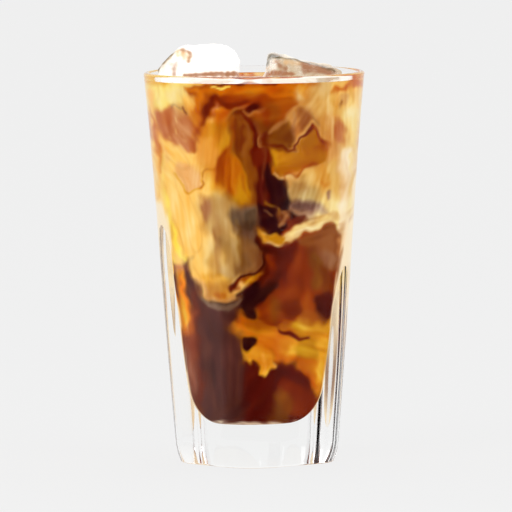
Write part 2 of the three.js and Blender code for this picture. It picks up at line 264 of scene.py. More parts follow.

# The marbling as seen from the front, with painted shade, highlights and glow among its strokes: millimetres
# to the right of the axis and above the table.
# A pool is a closed outline, a veil is one that only darkens what lies under it,
# and a strand is a route whose third number is its width. Later strokes lie over earlier ones.
MARBLING_AND_PAINTED_LIGHT = [
    # broad fields
    pool("gold", 3, (-42, 146), (-12, 146), (-13, 118), (-8, 100), (-2, 78), (-5, 60), (-20, 58),
         (-34, 76), (-41, 110)),
    pool("sand", 3, (14, 146), (44, 146), (43, 84), (30, 80), (12, 82), (8, 104), (14, 128)),
    pool("coffee", 2.5, (-26, 76), (-24, 66), (-14, 60), (-4, 62), (-3, 40), (-4, 8), (-34, 8), (-32, 50)),
    pool("rust", 2.5, (8, 88), (30, 92), (34, 60), (20, 52), (0, 54), (4, 74)),
    pool("ochre", 2, (-10, 56), (32, 58), (34, 20), (16, 40), (-6, 38)),
    # top left
    pool("straw", 2, (-41, 143), (-24, 143), (-21, 135), (-26, 130), (-33, 133), (-36, 128), (-40, 132)),
    strand("honey", 1.5, (-40, 144, 3), (-33, 143.5, 2), strength=0.7),
    pool("pale milk", 2, (-33, 140), (-25, 141), (-22, 136), (-27, 132), (-31, 135), strength=0.8),
    strand("gold", 1.2, (-39, 139, 4), (-38.5, 131, 4), (-37.5, 126, 3)),
    strand("amber", 0.8, (-39.6, 134, 0.8), (-38, 128, 1.2), (-36.4, 122, 1.6), (-35.6, 116, 2),
           (-35.6, 111, 1.6), strength=0.8),
    strand("peach", 1, (-36.6, 125, 1.6), (-34.5, 120, 1.6), (-33, 114, 2), strength=0.5),
    pool("gold", 1.6, (-25.6, 140), (-21.8, 140), (-21.6, 131), (-25, 131.4), strength=0.9),
    # sunk ice at the left
    pool("rose tan", 1.1, (-36.6, 132.4), (-33.4, 133.8), (-30.6, 134), (-27.4, 131.4), (-22.4, 128.8),
         (-22, 124), (-23.2, 118.6), (-24.8, 116.2), (-27.4, 118), (-31, 121), (-34.4, 124), (-36.8, 128),
         strength=0.86),
    pool("tan", 2.2, (-33, 130), (-27, 129.4), (-22.6, 127), (-23.2, 121), (-26, 119.4), (-31, 123.4),
         strength=0.35),
    pool("amber", 1.6, (-36.4, 132.4), (-33, 133.4), (-30.8, 130.4), (-33, 127.4), (-36.4, 128),
         strength=0.3),
    pool("sand", 1.1, (-31.6, 134.4), (-27.4, 134.6), (-25, 131.4), (-27.6, 129.6), (-30.4, 130.8),
         strength=0.45),
    strand("taupe", 0.5, (-31.6, 133.4, 0.7), (-29.6, 134.2, 0.6), (-28, 133, 0.5), strength=0.5),
    strand("brown", 0.4, (-27.2, 133.6, 0.6), (-26.4, 131.4, 0.6), strength=0.7),
    strand("pale milk", 0.4, (-29, 129.8, 0.7), (-28.2, 128.8, 0.7), strength=0.6),
    strand("pale milk", 0.4, (-29.2, 126.2, 0.5), (-29, 124.8, 0.7), (-28.8, 123.4, 0.4), strength=0.55),
    strand("pale milk", 0.4, (-31.6, 122.8, 0.6), (-30.8, 122, 0.5), strength=0.45),
    strand("pale milk", 0.4, (-26.6, 121.4, 0.5), (-26, 120.4, 0.4), strength=0.4),
    strand("honey", 0.6, (-25.4, 129.8, 0.9), (-23.6, 129.4, 1), (-22, 129.6, 0.8), strength=0.7),
    # golden plume
    pool("honey", 1.2, (-24, 131), (-21, 131.5), (-18.4, 129), (-17, 125), (-19.6, 120), (-22.4, 126)),
    pool("honey", 1.6, (-20.5, 126), (-14, 129), (-9, 128), (-9.5, 112), (-12, 96), (-16, 98), (-14, 112),
         (-17.5, 122)),
    pool("orange", 1.2, (-15, 131), (-9, 131), (-8.6, 127), (-13, 126.6), strength=0.9),
    pool("ochre", 2, (-15, 127), (-10, 128), (-9.4, 118), (-11, 116), (-13.6, 121), strength=0.75),
    pool("gold", 2, (-20, 121), (-15, 120), (-13.4, 112), (-16, 106), (-20, 108), (-24, 113), strength=0.8),
    pool("honey", 2, (-20, 112), (-14, 112), (-13, 104), (-18, 103), strength=0.6),
    # upper band from the middle to the right
    pool("chestnut", 1.6, (-23, 142), (-21, 135), (-19.5, 130.5), (-15, 130), (-14, 134), (-8, 131),
         (5, 128), (8, 124), (16, 133), (21, 137), (22, 142)),
    pool("amber", 1.4, (-24, 141.6), (-18, 140.5), (-6, 141), (20, 142), (21, 137.5), (10, 137),
         (0, 138.5), (-9, 138), (-17, 138.6), (-22, 138.6)),
    strand("orange", 0.8, (-25, 140.6, 1.4), (-21.6, 140.2, 1.2), strength=0.7),
    strand("amber", 1, (-20.4, 139, 3), (-20.6, 135, 2.6), (-20.2, 131.5, 2)),
    pool("amber", 1.2, (-16, 133), (-11, 134), (-8.6, 131.4), (-12, 130), (-15.4, 130.6), strength=0.9),
    pool("rust", 1.4, (-15, 137.4), (-9, 138), (4, 138), (8, 135), (0, 131), (-8, 133), (-14, 134),
         strength=0.8),
    strand("maroon", 1, (-14.5, 137, 1.4), (-16.5, 135.6, 2), (-17.4, 133, 2.8), (-18.4, 130.6, 2.6),
           (-19.6, 128, 1.4)),
    strand("chestnut", 1.6, (-19.4, 128.6, 1.6), (-21, 125, 1.6), (-22, 121, 1.4), (-23.4, 117, 0.8),
           strength=0.8),
    strand("orange", 2, (-20, 131, 2), (-22, 124, 2), (-23.6, 118, 1.4), strength=0.5),
    strand("rose tan", 0.5, (-14.6, 135, 0.8), (-15, 132.4, 0.9), (-14.6, 130.4, 0.6), strength=0.6),
    strand("maroon", 0.9, (-13.6, 137.4, 1.2), (-11, 134.4, 2), (-6, 134.6, 2), (-3.4, 136, 1.6),
           strength=0.7),
    strand("maroon", 1.2, (-6, 135.6, 1.4), (-1, 135.6, 1.8), (4, 134, 1.6), strength=0.5),
    pool("chestnut", 1.4, (4, 137), (15.6, 136.6), (15, 133), (10, 129), (5, 129), strength=0.8),
    pool("brown", 1.6, (4.6, 134.6), (9.6, 135), (9, 130), (6, 126.6), (3, 128.6), strength=0.55),
    strand("chestnut", 0.8, (8, 139.2, 1), (14, 139, 1.2), (17, 138, 1), strength=0.5),
    # brown plume in the middle
    pool("brown", 1.4, (-9, 131.6), (-5, 133), (-1, 130), (3, 124), (6, 118), (5, 108), (-2, 108),
         (-6, 112), (-9, 120)),
    strand("tan", 0.7, (-10.4, 129.4, 0.8), (-8.6, 132, 1), (-6, 133.4, 1), (-3, 133.4, 0.7), strength=0.4),
    strand("chestnut", 0.8, (-8.2, 129.4, 0.9), (-8, 124, 1), (-9.4, 118, 1.2), (-10.6, 112, 1.6),
           strength=0.7),
    strand("maroon", 0.8, (-6.4, 131.6, 1.2), (-4.6, 128, 1), (-5, 123, 1.1), (-4.2, 118, 1.2),
           strength=0.55),
    strand("maroon", 0.9, (-7, 130.6, 1), (-7.4, 125, 1.2), (-6.6, 120, 1), (-6, 115.6, 1), strength=0.5),
    strand("cocoa", 0.7, (-3, 128, 0.8), (-2.8, 122, 1), (-3.2, 116, 1), strength=0.6),
    strand("maroon", 0.9, (-4.6, 131.4, 1), (-1.6, 128.6, 2), (0, 124, 2.4), (0.6, 118, 2.6),
           (0.8, 112, 2.8)),
    strand("wine", 0.6, (-0.4, 126.6, 0.6), (0.6, 120, 1.2), (0.6, 112, 1.4), strength=0.8),
    strand("cocoa", 0.6, (0, 127.6, 0.8), (2.6, 122, 1.2), (3, 117, 1.2), (3, 110, 1.4), strength=0.75),
    strand("tan", 0.5, (1.4, 122.6, 0.6), (2.2, 118.4, 0.8), strength=0.6),
    pool("wine", 0.9, (-2.6, 133.4), (0, 135), (2.4, 133.6), (1.4, 131.4), (-1, 130.8)),
    strand("tan", 0.6, (-3.4, 131.6, 0.6), (-1, 130.4, 0.9), (1.4, 130.6, 0.9), (3.2, 132.4, 0.7),
           strength=0.45),
    pool("maroon", 1.1, (2.6, 124), (5, 124.4), (8.2, 122), (8, 119.8), (4.6, 119.4), (2.8, 121),
         strength=0.9),
    strand("rust", 0.9, (3.6, 131, 2), (4.6, 127.4, 2), strength=0.6),
    # folded milk at the upper right
    pool("tan", 1.6, (10, 127), (14, 131.6), (18, 136), (22, 138), (30, 135), (31, 121), (27.4, 120.2),
         (24.4, 122.6), (21.8, 126.6), (18, 123.4), (15, 119.4), (13, 118.4), (9, 121)),
    pool("sand", 1.8, (17, 138), (30, 138), (31, 122), (27.8, 121), (25, 124), (23, 128.4), (20.6, 133)),
    pool("gold", 2, (23, 139), (31, 139), (31, 128), (27, 130), strength=0.6),
    pool("olive", 1.2, (7, 124), (10.4, 127), (13, 128), (14.2, 123), (13.6, 118.6), (8, 119), (5.6, 121),
         strength=0.9),
    pool("brown", 1.6, (4.6, 124), (8, 127), (12.4, 128), (13.4, 122), (12.6, 119.6), (6, 119.4),
         strength=0.6),
    strand("sand", 1.1, (5.6, 124.2, 0.9), (8.6, 126.2, 1.6), (12, 129.2, 1.8), (15.4, 132.6, 2),
           (19.4, 135.4, 2.2), strength=0.65),
    pool("cocoa", 1.4, (16.6, 133), (19.6, 132.6), (21.4, 129.4), (20.6, 126.6), (18.4, 125.2),
         (16.8, 128), strength=0.7),
    # painted lilac shade in the fold
    strand("lilac", 0.8, (14.8, 131, 1), (14.8, 126, 1.6), (14.6, 121.6, 1.2), strength=0.5),
    strand("taupe", 0.6, (21.6, 131, 0.6), (22.6, 128, 0.9), (24, 125.6, 0.6), strength=0.4),
    strand("pale milk", 0.9, (14.2, 119.8, 0.8), (17, 122.8, 1.2), (20, 126, 1.3), (21.8, 127.3, 1.2),
           (24, 124.6, 1.2), (26.8, 121.4, 0.8), strength=0.5),
    strand("pale milk", 0.9, (23.4, 134, 1.4), (24.8, 130, 1.6), (26.4, 125.6, 1.4), strength=0.5),
    pool("ochre", 1, (6, 117.6), (14.4, 116.8), (15, 119), (17.4, 121.6), (21.8, 125.2), (24, 122),
         (27, 120), (28, 117), (27, 113.6), (23, 111.6), (18, 109.4), (12.4, 108), (9, 107.4),
         (6.4, 111.6)),
    pool("honey", 1.4, (7, 116.6), (14, 115.6), (16, 111), (9.6, 109), strength=0.35),
    pool("brown", 1.4, (15.6, 119), (19, 122), (21.6, 123.6), (22.4, 119), (17.4, 117.6), strength=0.4),
    strand("chestnut", 0.7, (22, 117.6, 0.8), (25, 118.6, 1), (27.4, 118, 1), strength=0.5),
    strand("chestnut", 0.6, (19, 121, 0.5), (19.4, 117, 0.7), (18.6, 113.6, 0.6), strength=0.4),
    strand("honey", 0.6, (16.8, 119.4, 0.5), (17, 114, 0.8), strength=0.4),
    strand("maroon", 0.5, (3.6, 119.2, 0.9), (7.7, 118.6, 1), (11.9, 117.4, 1.1), (14.5, 117.6, 1),
           (14.8, 119.2, 0.9), (17, 121.6, 1.2), (19.4, 123.6, 1.5), (21.7, 125.8, 1.2), strength=0.9),
    strand("rust", 0.7, (21.7, 125.8, 1), (23.2, 123.8, 1.2), (24.6, 121.6, 1.2), (27, 120, 1),
           (27.6, 118, 0.8), strength=0.85),
    # top right corner
    pool("gold", 1.6, (29, 142), (41, 143), (40, 132), (37, 112), (33, 116), (32, 128), (28, 134)),
    pool("tan", 1, (16, 140.6), (21, 141), (22, 136.6), (19, 134.6), (16, 135), strength=0.75),
    pool("orange", 0.9, (16.4, 141.4), (20.4, 141.4), (20.4, 138), (17, 138.4), strength=0.7),
    pool("sand", 1.4, (21, 141), (28, 141), (27, 136), (22, 136.4), strength=0.8),
    strand("amber", 0.8, (28.6, 138.6, 1.4), (31, 140.4, 2), (34, 140.6, 1.2), (38, 142.4, 2),
           (40, 141.4, 1.2), strength=0.9),
    strand("honey", 1, (29, 137.6, 1.6), (29.6, 134, 1.6), (30.6, 130.6, 1.4), strength=0.8),
    strand("honey", 1, (36.6, 140.6, 1.6), (36.4, 136, 1.8), (35.4, 133.4, 1.6), strength=0.7),
    pool("tan", 1, (32, 138.4), (35, 138.6), (34.6, 135), (32, 134.6), strength=0.7),
    strand("brown", 0.4, (32.2, 136.2, 0.4), (31.6, 134.4, 0.7), (31.8, 132.4, 0.4), strength=0.7),
    pool("pale milk", 1.8, (31, 132), (39, 132), (38.4, 112), (33.4, 112), (33, 120)),
    pool("peach", 1.5, (27, 131), (32, 129), (34, 122), (33, 116), (30, 111), (27, 114), (27.4, 122),
         strength=0.6),
    pool("tan", 1.5, (29, 128), (32.6, 127.6), (33.4, 122), (32.6, 116), (29, 116), strength=0.7),
    pool("rose tan", 1.4, (30, 126), (32.8, 126), (33, 121.6), (30.4, 121), strength=0.6),
    strand("gold", 1, (35.2, 132, 1), (35.6, 122, 1.4), (35.2, 114, 1.2), strength=0.4),
    # left field under the sunk ice
    pool("peach", 1.2, (-29, 112.6), (-24, 112), (-20.6, 109), (-19.4, 104.6), (-22, 102.6), (-27, 102.8),
         (-29, 106)),
    strand("honey", 0.5, (-15, 111, 0.6), (-17.6, 110, 0.8), (-19.8, 108.6, 0.9), (-20.4, 106.6, 0.8),
           (-19.3, 105, 1), (-20.4, 103.4, 1), (-23, 102.4, 0.9), (-25.6, 102.2, 0.9), (-28, 104.6, 0.8),
           (-29.6, 108.6, 0.5), strength=0.9),
    strand("chestnut", 0.4, (-19.9, 106.4, 0.5), (-19.3, 105, 0.6), (-20.6, 103.4, 0.4), strength=0.6),
    strand("chestnut", 0.4, (-16, 111, 0.3), (-18.6, 109.8, 0.5), (-20.2, 107.8, 0.4), strength=0.5),
    strand("butter", 1, (-34.2, 102, 2), (-33.2, 97, 2.4), (-32, 91, 2.6), (-30.6, 85, 2.8),
           (-28.6, 80, 2.4), (-26.4, 76.6, 1.4)),
    strand("straw", 1.2, (-34.6, 116, 1), (-34.6, 108, 1.6), (-34, 101, 1.4), strength=0.6),
    # painted glow: light coming through the coffee at the left edge
    strand("glow", 1, (-36.6, 116, 1), (-36.6, 110, 1.4), (-35.8, 105, 1.2), strength=0.5),
    # middle column
    pool("chestnut", 1.2, (-9.6, 117), (-10, 111), (-13, 104), (-14.2, 110), (-12, 117), strength=0.95),
    pool("ochre", 1.6, (-12.6, 112), (-9, 116), (-6, 115), (-2.4, 107), (-1, 100), (-4, 97.4), (-12, 99),
         (-13.4, 105)),
    pool("amber", 2, (-12.4, 112), (-9, 115.6), (-6.4, 113), (-5, 105), (-8, 101), (-12.6, 104),
         strength=0.55),
    strand("chestnut", 0.6, (-11.6, 113.6, 0.7), (-12.4, 108, 1), (-12.8, 103, 0.8), strength=0.6),
    strand("chestnut", 0.5, (-9.6, 114, 0.5), (-9.2, 108, 0.8), (-9.4, 102.6, 0.5), strength=0.45),
    strand("honey", 0.6, (-8, 110, 0.5), (-7.4, 104, 0.9), (-7, 99.6, 0.6), strength=0.4),
    strand("chestnut", 0.6, (-4.8, 108, 0.8), (-3.6, 103, 1), (-2.6, 99, 0.8), strength=0.6),
    strand("brown", 0.7, (-5.4, 115.6, 1.6), (-4, 111.4, 1.6), (-1.8, 106, 1.4), (-0.4, 101, 1.4),
           (-0.4, 97, 1), strength=0.75),
    strand("brown", 0.6, (-6.4, 117, 1.8), (-5.8, 114.6, 1), strength=0.7),
    pool("maroon", 1, (-1, 117), (5.4, 117), (5, 106), (6, 98), (4, 90), (1, 90), (1.2, 104)),
    pool("wine", 1.2, (0.8, 110), (5.6, 112.6), (6, 104), (5.6, 96), (1.2, 95), (0.6, 102), strength=0.8),
    strand("cocoa", 0.6, (3.6, 117, 1), (3.6, 112, 1), (3.2, 107, 0.7), strength=0.5),
    strand("olive", 0.7, (3.4, 101.6, 0.6), (3.4, 98.6, 1), (3.8, 96, 0.8), strength=0.45),
    strand("rose tan", 0.35, (2.8, 108, 0.3), (2.6, 102, 0.5), (3.2, 98.4, 0.4), strength=0.4),
    pool("black coffee", 0.8, (5, 112.6), (6.4, 109.8), (8.4, 107.4), (11.6, 105.4), (13.6, 102.6),
         (14.1, 99.4), (13.2, 96), (11.2, 94.2), (7.6, 95.4), (5.4, 98), (4.4, 103), (4.4, 108)),
    strand("rust", 0.5, (7.6, 104.6, 0.6), (9.4, 101.6, 0.9), (10.4, 98.4, 0.6), strength=0.35),
    pool("black coffee", 0.8, (1.2, 97), (4, 96.6), (7, 96), (9.6, 94), (10.6, 92.4), (13, 90.6),
         (16, 91.6), (18.8, 92.6), (18, 94.4), (16, 95.6), (13.6, 94.4), (12, 92), (11.6, 89), (8.6, 86),
         (5, 86.4), (2.8, 87.8), (1, 89.4)),
    pool("wine", 0.9, (1.4, 106), (4, 104), (5, 99), (3, 98), (1.4, 99), strength=0.6),
    strand("tan", 0.45, (3, 94.6, 0.4), (5.2, 93.2, 0.7), (7, 92.8, 0.5), strength=0.6),
    strand("olive", 0.5, (3.6, 98.4, 0.8), (5.6, 97, 0.9), (7.6, 96.4, 0.8), (9, 95.2, 0.9),
           (9.4, 93.6, 0.6), strength=0.85),
    pool("cocoa", 0.9, (9, 94.6), (11.4, 94), (12.6, 93.6), (12, 92), (10, 89), (9, 88.8), (9.4, 91),
         strength=0.75),
    strand("tan", 0.5, (10.8, 94, 0.8), (11.4, 92, 1), (10.4, 90, 0.9), (9.4, 88.4, 0.5), strength=0.55),
    # pale milk at the right
    pool("pale milk", 1.5, (11, 105), (16, 107.4), (22, 110), (27, 112), (31, 112), (33, 84), (27, 90),
         (18, 89), (12.6, 95.6), (13.6, 99)),
    pool("sand", 1.8, (11, 106), (16, 106.6), (20, 103), (15, 98), (13.6, 100), strength=0.6),
    pool("honey", 1.6, (23.4, 110.6), (26, 112), (27.6, 108), (26.4, 104), (24.4, 104), strength=0.45),
    strand("orange", 0.8, (24.8, 105, 0.8), (26.4, 104.8, 0.9), (27.4, 106, 0.6), strength=0.4),
    # painted lilac shade under the pale milk
    strand("lilac", 1.6, (13.6, 96.6, 1.6), (17, 96.6, 3.4), (21, 96.2, 4), (24.6, 95, 2.4),
           (26.6, 93.6, 1), strength=0.8),
    strand("taupe", 1.2, (13.8, 97.2, 1), (15, 96.4, 1.4), (17, 96, 1), strength=0.4),
    # painted lilac shade
    strand("lilac", 0.9, (27.8, 101, 1.8), (28.1, 99, 1.4), strength=0.9),
    pool("sand", 1, (12, 91), (17, 90.4), (24, 91.6), (22, 88.6), (15, 87), strength=0.4),
    pool("ochre", 0.6, (9.8, 108.6), (14.6, 108.8), (20, 110.8), (24, 112.6), (22, 115), (12, 114),
         (7, 112.6), (7.6, 109)),
    strand("amber", 0.6, (6.6, 110.2, 0.8), (8, 107.8, 1.2), (9, 106.6, 1), strength=0.6),
    strand("sand", 0.5, (8, 108.4, 1), (9, 107.4, 1.2), (10, 106.4, 0.8), strength=0.8),
    strand("chestnut", 0.7, (10.6, 105.8, 0.6), (12, 108.4, 1), (15.6, 107.8, 1.4), (19, 109.8, 1.2),
           (23, 112, 0.8), strength=0.9),
    strand("amber", 0.9, (13, 109, 1.6), (16.4, 108.8, 1.8), (19.6, 110.6, 1.2), strength=0.5),
    strand("brown", 0.5, (6, 113, 0.8), (8, 109.4, 0.8), (10, 107.6, 0.5), strength=0.5),
    pool("cream", 1.3, (31.6, 114), (37, 116), (36.6, 84), (33, 82), (31, 86), (31.4, 100)),
    strand("pale milk", 0.7, (36.2, 116, 1), (35.8, 100, 1.2), (35.2, 86, 1), strength=0.8),
    # grey shadows in the middle
    pool("tan", 2, (-20.6, 99), (-15.6, 99.4), (-15, 94), (-17.4, 91.6), (-20, 93.6), strength=0.8),
    pool("rose tan", 1.2, (-19.4, 97), (-16.6, 97.4), (-16.6, 93.6), (-18.8, 93.2), strength=0.5),
    pool("sand", 3, (-15, 102), (-10, 100), (-8, 92), (-9, 84), (-16, 80), (-16.6, 92), strength=0.9),
    pool("taupe", 2, (-8.8, 95.6), (-5, 96.4), (0, 96), (0.8, 90), (0, 84), (-4.6, 82), (-8, 88),
         strength=0.9),
    pool("smoke", 1.4, (-8.4, 94.8), (-5, 95), (-4.6, 91.6), (-7.6, 90.4), strength=0.45),
    pool("smoke", 1.4, (-4.4, 94.4), (0.6, 95), (1, 89.4), (-2, 87), (-4.6, 89.6), strength=0.9),
    pool("lilac", 1.6, (-5.6, 87), (-1, 86.4), (0.4, 84), (-1.6, 80.6), (-4.6, 82), strength=0.6),
    strand("olive", 0.8, (-6.4, 92, 1), (-6, 87, 1.2), (-6.4, 81, 1.6), strength=0.45),
    # plume's lower part
    pool("sand", 2, (-9, 84), (0, 83), (1.6, 78), (0.4, 73), (-5, 71), (-9, 66), (-16, 66), (-14, 74),
         (-10, 78), strength=0.8),
    strand("tan", 1.4, (-14.6, 92, 1.6), (-14, 84, 2.6), (-13.6, 76, 2.6), (-12, 71, 1.6), strength=0.55),
    strand("ochre", 1.4, (-6.4, 84, 1.4), (-6, 79, 2.4), (-4.6, 75, 2), strength=0.4),
    # painted lilac shade
    strand("lilac", 1.2, (-3.4, 77, 1.6), (-2.6, 74.6, 1.2), strength=0.35),
    pool("honey", 1.6, (-20, 70), (-15, 72), (-10, 69.6), (-9, 64), (-13, 61.4), (-18, 63), strength=0.6),
    strand("orange", 0.9, (-15, 63.6, 1.6), (-12, 63.4, 1.8), strength=0.8),
    strand("peach", 0.8, (-23.6, 70, 1.4), (-20, 66, 1.8), (-17, 62.4, 1.4), (-13, 60.9, 1.4),
           (-9, 62.4, 1.6), strength=0.6),
    # dark side of the plume
    pool("maroon", 1, (1, 84), (8, 80.6), (11, 81), (10, 74), (6, 66), (-2, 62), (-4, 66), (2, 72),
         (2.4, 78)),
    pool("black coffee", 1.2, (-5.6, 64), (-4, 66.4), (1, 66.6), (4, 68), (7, 67.6), (7.4, 65), (4, 62),
         (1, 58), (-1, 53), (-5, 56), (-5.8, 60)),
    strand("wine", 1.2, (10.6, 82, 2), (9.6, 78, 1.8), (9, 74, 1.8), (7.4, 70, 2.4), (5, 67, 2)),
    pool("rust", 1, (4, 77.6), (6.8, 78.4), (8.2, 75), (7, 72), (4.6, 73), strength=0.8),
    strand("chestnut", 0.8, (5, 77, 1), (6.4, 74.6, 1.2), strength=0.7),
    strand("tan", 0.5, (2.2, 79.6, 0.6), (2.2, 76, 0.9), (0.4, 73, 1), (-3.4, 71.2, 1), (-7, 68.6, 1),
           (-9.4, 65.8, 0.8), strength=0.8),
    strand("wine", 0.6, (3, 77.4, 0.6), (1.8, 73.4, 1), (-2, 70.8, 1.2), (-5.4, 69, 1.5), (-8, 66.4, 1.8),
           (-9, 65, 1)),
    pool("ochre", 0.7, (-5, 68.6), (-2.4, 70.2), (1, 71.6), (2.6, 72), (1.6, 69), (-1, 67.3), (-4, 67.2)),
    strand("honey", 0.7, (-3.4, 68.4, 0.8), (-1, 68.8, 1), strength=0.4),
    strand("rust", 0.8, (-9, 65.4, 1.6), (-6.4, 66, 1.4), strength=0.6),
    # cream swoosh
    strand("sand", 0.7, (2, 86, 2), (5, 84.6, 3.4), (8.4, 83.2, 4.4), (12, 84, 4.6), (16, 86.6, 4),
           (20, 88, 3.6), (25, 90.6, 4), (29, 92, 4)),
    pool("honey", 0.7, (1, 87.6), (3.4, 86.6), (5, 84), (3.4, 83.6), (1.4, 84.6)),
    pool("ochre", 0.8, (4, 86), (8, 86), (11, 84.8), (10, 82.6), (6.4, 83)),
    strand("sand", 0.6, (4.6, 83.4, 0.8), (7.6, 81.6, 1.2), (10.6, 81.6, 1.2), (13, 82.8, 1)),
    strand("ochre", 0.6, (11.4, 83, 0.9), (12.6, 82.6, 0.6), strength=0.8),
    strand("pale milk", 0.8, (13, 85.6, 1.8), (17, 87.4, 2), (22, 88.6, 2), (27, 91.6, 2.4), strength=0.8),
    strand("wine", 0.8, (0.6, 83.6, 1.4), (3, 82.2, 2), (6, 80.6, 2), (9, 80.2, 1.8), strength=0.9),
    # brown dome at the right
    pool("cocoa", 0.9, (14, 83.4), (18.6, 84.6), (23, 87), (27, 89), (30, 88), (32, 84), (31, 78),
         (29.6, 72), (24, 74), (19, 80)),
    pool("brown", 1.6, (17, 83.6), (21, 84.6), (22.4, 80), (20, 76), strength=0.5),
    # painted lilac shade on the brown dome
    pool("lilac", 1.8, (25, 79), (29.4, 78), (28.6, 71.6), (25.4, 71), strength=0.3),
    pool("maroon", 1.4, (9, 80.6), (16, 83), (15.6, 78), (12, 74), (10.6, 68), (9, 72)),
    pool("chestnut", 2, (14.6, 78), (19.6, 80), (20, 66), (16, 60), (11, 60), (13, 70), strength=0.6),
    pool("olive", 1.2, (20.6, 78), (24.4, 76), (24.6, 66), (21.6, 64), (20.4, 70), strength=0.75),
    pool("brown", 1.4, (24, 72), (29.4, 71), (29, 62), (25, 62), strength=0.8),
    strand("maroon", 0.9, (28.6, 71, 1.4), (28.8, 67, 1.4), (27.6, 63, 2), strength=0.5),
    pool("peach", 1.2, (31.6, 84), (35.4, 86), (34.8, 72), (31.6, 72), (30.4, 76), strength=0.8),
    # painted glints: two small cream highlights with an orange one between
    strand("cream", 0.6, (31.2, 71.4, 1), (32, 69, 1), strength=0.7),
    strand("orange", 0.8, (30, 67.6, 1.2), (31.4, 64.6, 1.6), strength=0.7),
    pool("cream", 0.8, (30, 64), (32.2, 64.4), (32.4, 61.4), (30.6, 60.2), (29.4, 61.6)),
    # lower right: amber cloud
    pool("chestnut", 1.4, (5, 62), (12, 66), (24, 64), (24, 54), (10, 52), (2, 54), (1, 58), strength=0.85),
    pool("wine", 1.2, (22.6, 62.4), (28.6, 63), (28.4, 56), (26, 52.6), (22.6, 55)),
    pool("olive", 1.2, (5.6, 62), (8.6, 61), (8.4, 54), (5.6, 54), strength=0.6),
    strand("rust", 1, (1.6, 60, 1.6), (3.4, 57, 2), (3, 53.6, 1.4), strength=0.7),
    pool("maroon", 1.4, (10.6, 60), (16, 60.6), (16.4, 55), (12, 53.4), (10, 55.6), strength=0.6),
    pool("amber", 1.2, (17, 63.4), (21, 62.6), (22.4, 58.6), (19, 56.6), (16.6, 59), strength=0.6),
    pool("honey", 1.5, (17.6, 57), (21, 57), (26, 53), (29, 52), (29.6, 44), (24, 46), (16, 50),
         strength=0.55),
    pool("orange", 1.1, (-9.4, 54.6), (-6.4, 57), (-4.4, 55), (-1, 53.6), (4, 52.6), (9, 52), (10, 46),
         (3, 47.4), (-3, 47.6), (-6.4, 47), (-9.6, 50)),
    pool("ochre", 1.4, (-4, 53.6), (5, 54), (10, 52), (8, 47.6), (-2, 48.6), strength=0.85),
    strand("honey", 1, (-8.2, 54, 1.4), (-7.2, 50.6, 2), (-5.4, 48.2, 1.6), strength=0.7),
    strand("rust", 0.8, (1.6, 54.4, 1), (5, 52.2, 1.2), (9, 52.2, 1), strength=0.7),
    pool("orange", 1.3, (1, 48), (10, 50), (15, 47), (16, 40), (12, 37.4), (8, 38), (1, 40), strength=0.95),
    pool("honey", 1.5, (9.6, 47.6), (15, 46.6), (16, 42), (12, 39.6), (9, 42), strength=0.7),
    pool("ochre", 1.4, (15.6, 46), (23, 46), (28, 43), (27, 38), (16, 38.6), strength=0.65),
    pool("honey", 1.4, (22.6, 46), (29, 48), (29, 40), (27.6, 30), (25, 22), (22.6, 28), (21, 34),
         (22.6, 40)),
    strand("butter", 1.1, (29.6, 48, 1.6), (28, 40, 2), (26.6, 32, 2), (25.2, 25.6, 1.4), strength=0.5),
    strand("amber", 0.7, (12.6, 37.8, 0.8), (17.6, 37.6, 1.4), (22.6, 37.4, 1.2), strength=0.7),
    pool("amber", 1, (15, 36.6), (22.6, 37), (22.6, 31.6), (19.6, 29), (16.4, 32), strength=0.75),
    strand("ochre", 0.5, (10, 42, 0.5), (17, 42.6, 0.7), (26, 42.4, 0.6), strength=0.4),
    pool("coffee", 1, (-15, 51), (-10.6, 50.6), (-8, 47), (-5.8, 45), (-5.4, 38), (-15, 36)),
    pool("black coffee", 0.8, (-4.6, 46.8), (-2, 47.4), (0.4, 46), (0.2, 44), (-2.4, 42.6), (-4.8, 43.6)),
    strand("maroon", 0.5, (9.2, 50, 0.9), (11.6, 48.6, 1.2), (13.8, 47.2, 1.4), (16, 46.2, 1.2),
           (19.6, 46.6, 0.6)),
    strand("brown", 0.6, (6.6, 53, 1.2), (8.4, 51, 1), strength=0.5),
    # fingers under the cloud
    pool("honey", 0.7, (-5, 42.4), (-2.4, 41.6), (1.4, 44), (6.4, 41), (6.6, 38), (7.6, 35.4),
         (5.2, 34.8), (4.4, 32.6), (1.4, 33.4), (0.4, 36.6), (-1, 39), (-3.6, 38.2), (-4.8, 40)),
    strand("gold", 0.8, (2.2, 40, 1.4), (3, 36.4, 1.6), (3.2, 34, 1), strength=0.5),
    strand("rust", 0.8, (-4.4, 38, 1.4), (-3.4, 36.4, 1), strength=0.5),
    strand("sand", 0.5, (6.8, 37, 1), (7.4, 35.6, 1), strength=0.7),
    strand("ochre", 0.7, (5.6, 43, 0.8), (6.2, 39.4, 0.9), strength=0.5),
    # lower left
    pool("orange", 1.6, (-30, 72), (-27, 73), (-25.6, 64), (-23.4, 56), (-23, 50), (-26, 48), (-29.4, 52),
         (-31, 62)),
    strand("rose tan", 1.2, (-33, 77.4, 1.4), (-31.4, 75, 2.4), (-28, 74, 2), (-26, 72.4, 1.6),
           strength=0.8),
    strand("tan", 1, (-33.6, 84, 0.8), (-33, 79, 1.4), (-32, 74, 1.8), strength=0.7),
    # painted glow: light coming through the coffee low at the left
    strand("glow", 0.8, (-28.2, 71.6, 1.2), (-27.8, 68, 1.6), (-26.8, 63, 2), (-25.8, 59, 2.2),
           (-25.8, 55, 2), (-26.4, 51, 1.2)),
    pool("coffee", 1.6, (-27, 74), (-24.6, 70), (-21.6, 66), (-18.6, 61), (-13, 57.6), (-7, 60), (-8, 52),
         (-21, 52), (-24, 60)),
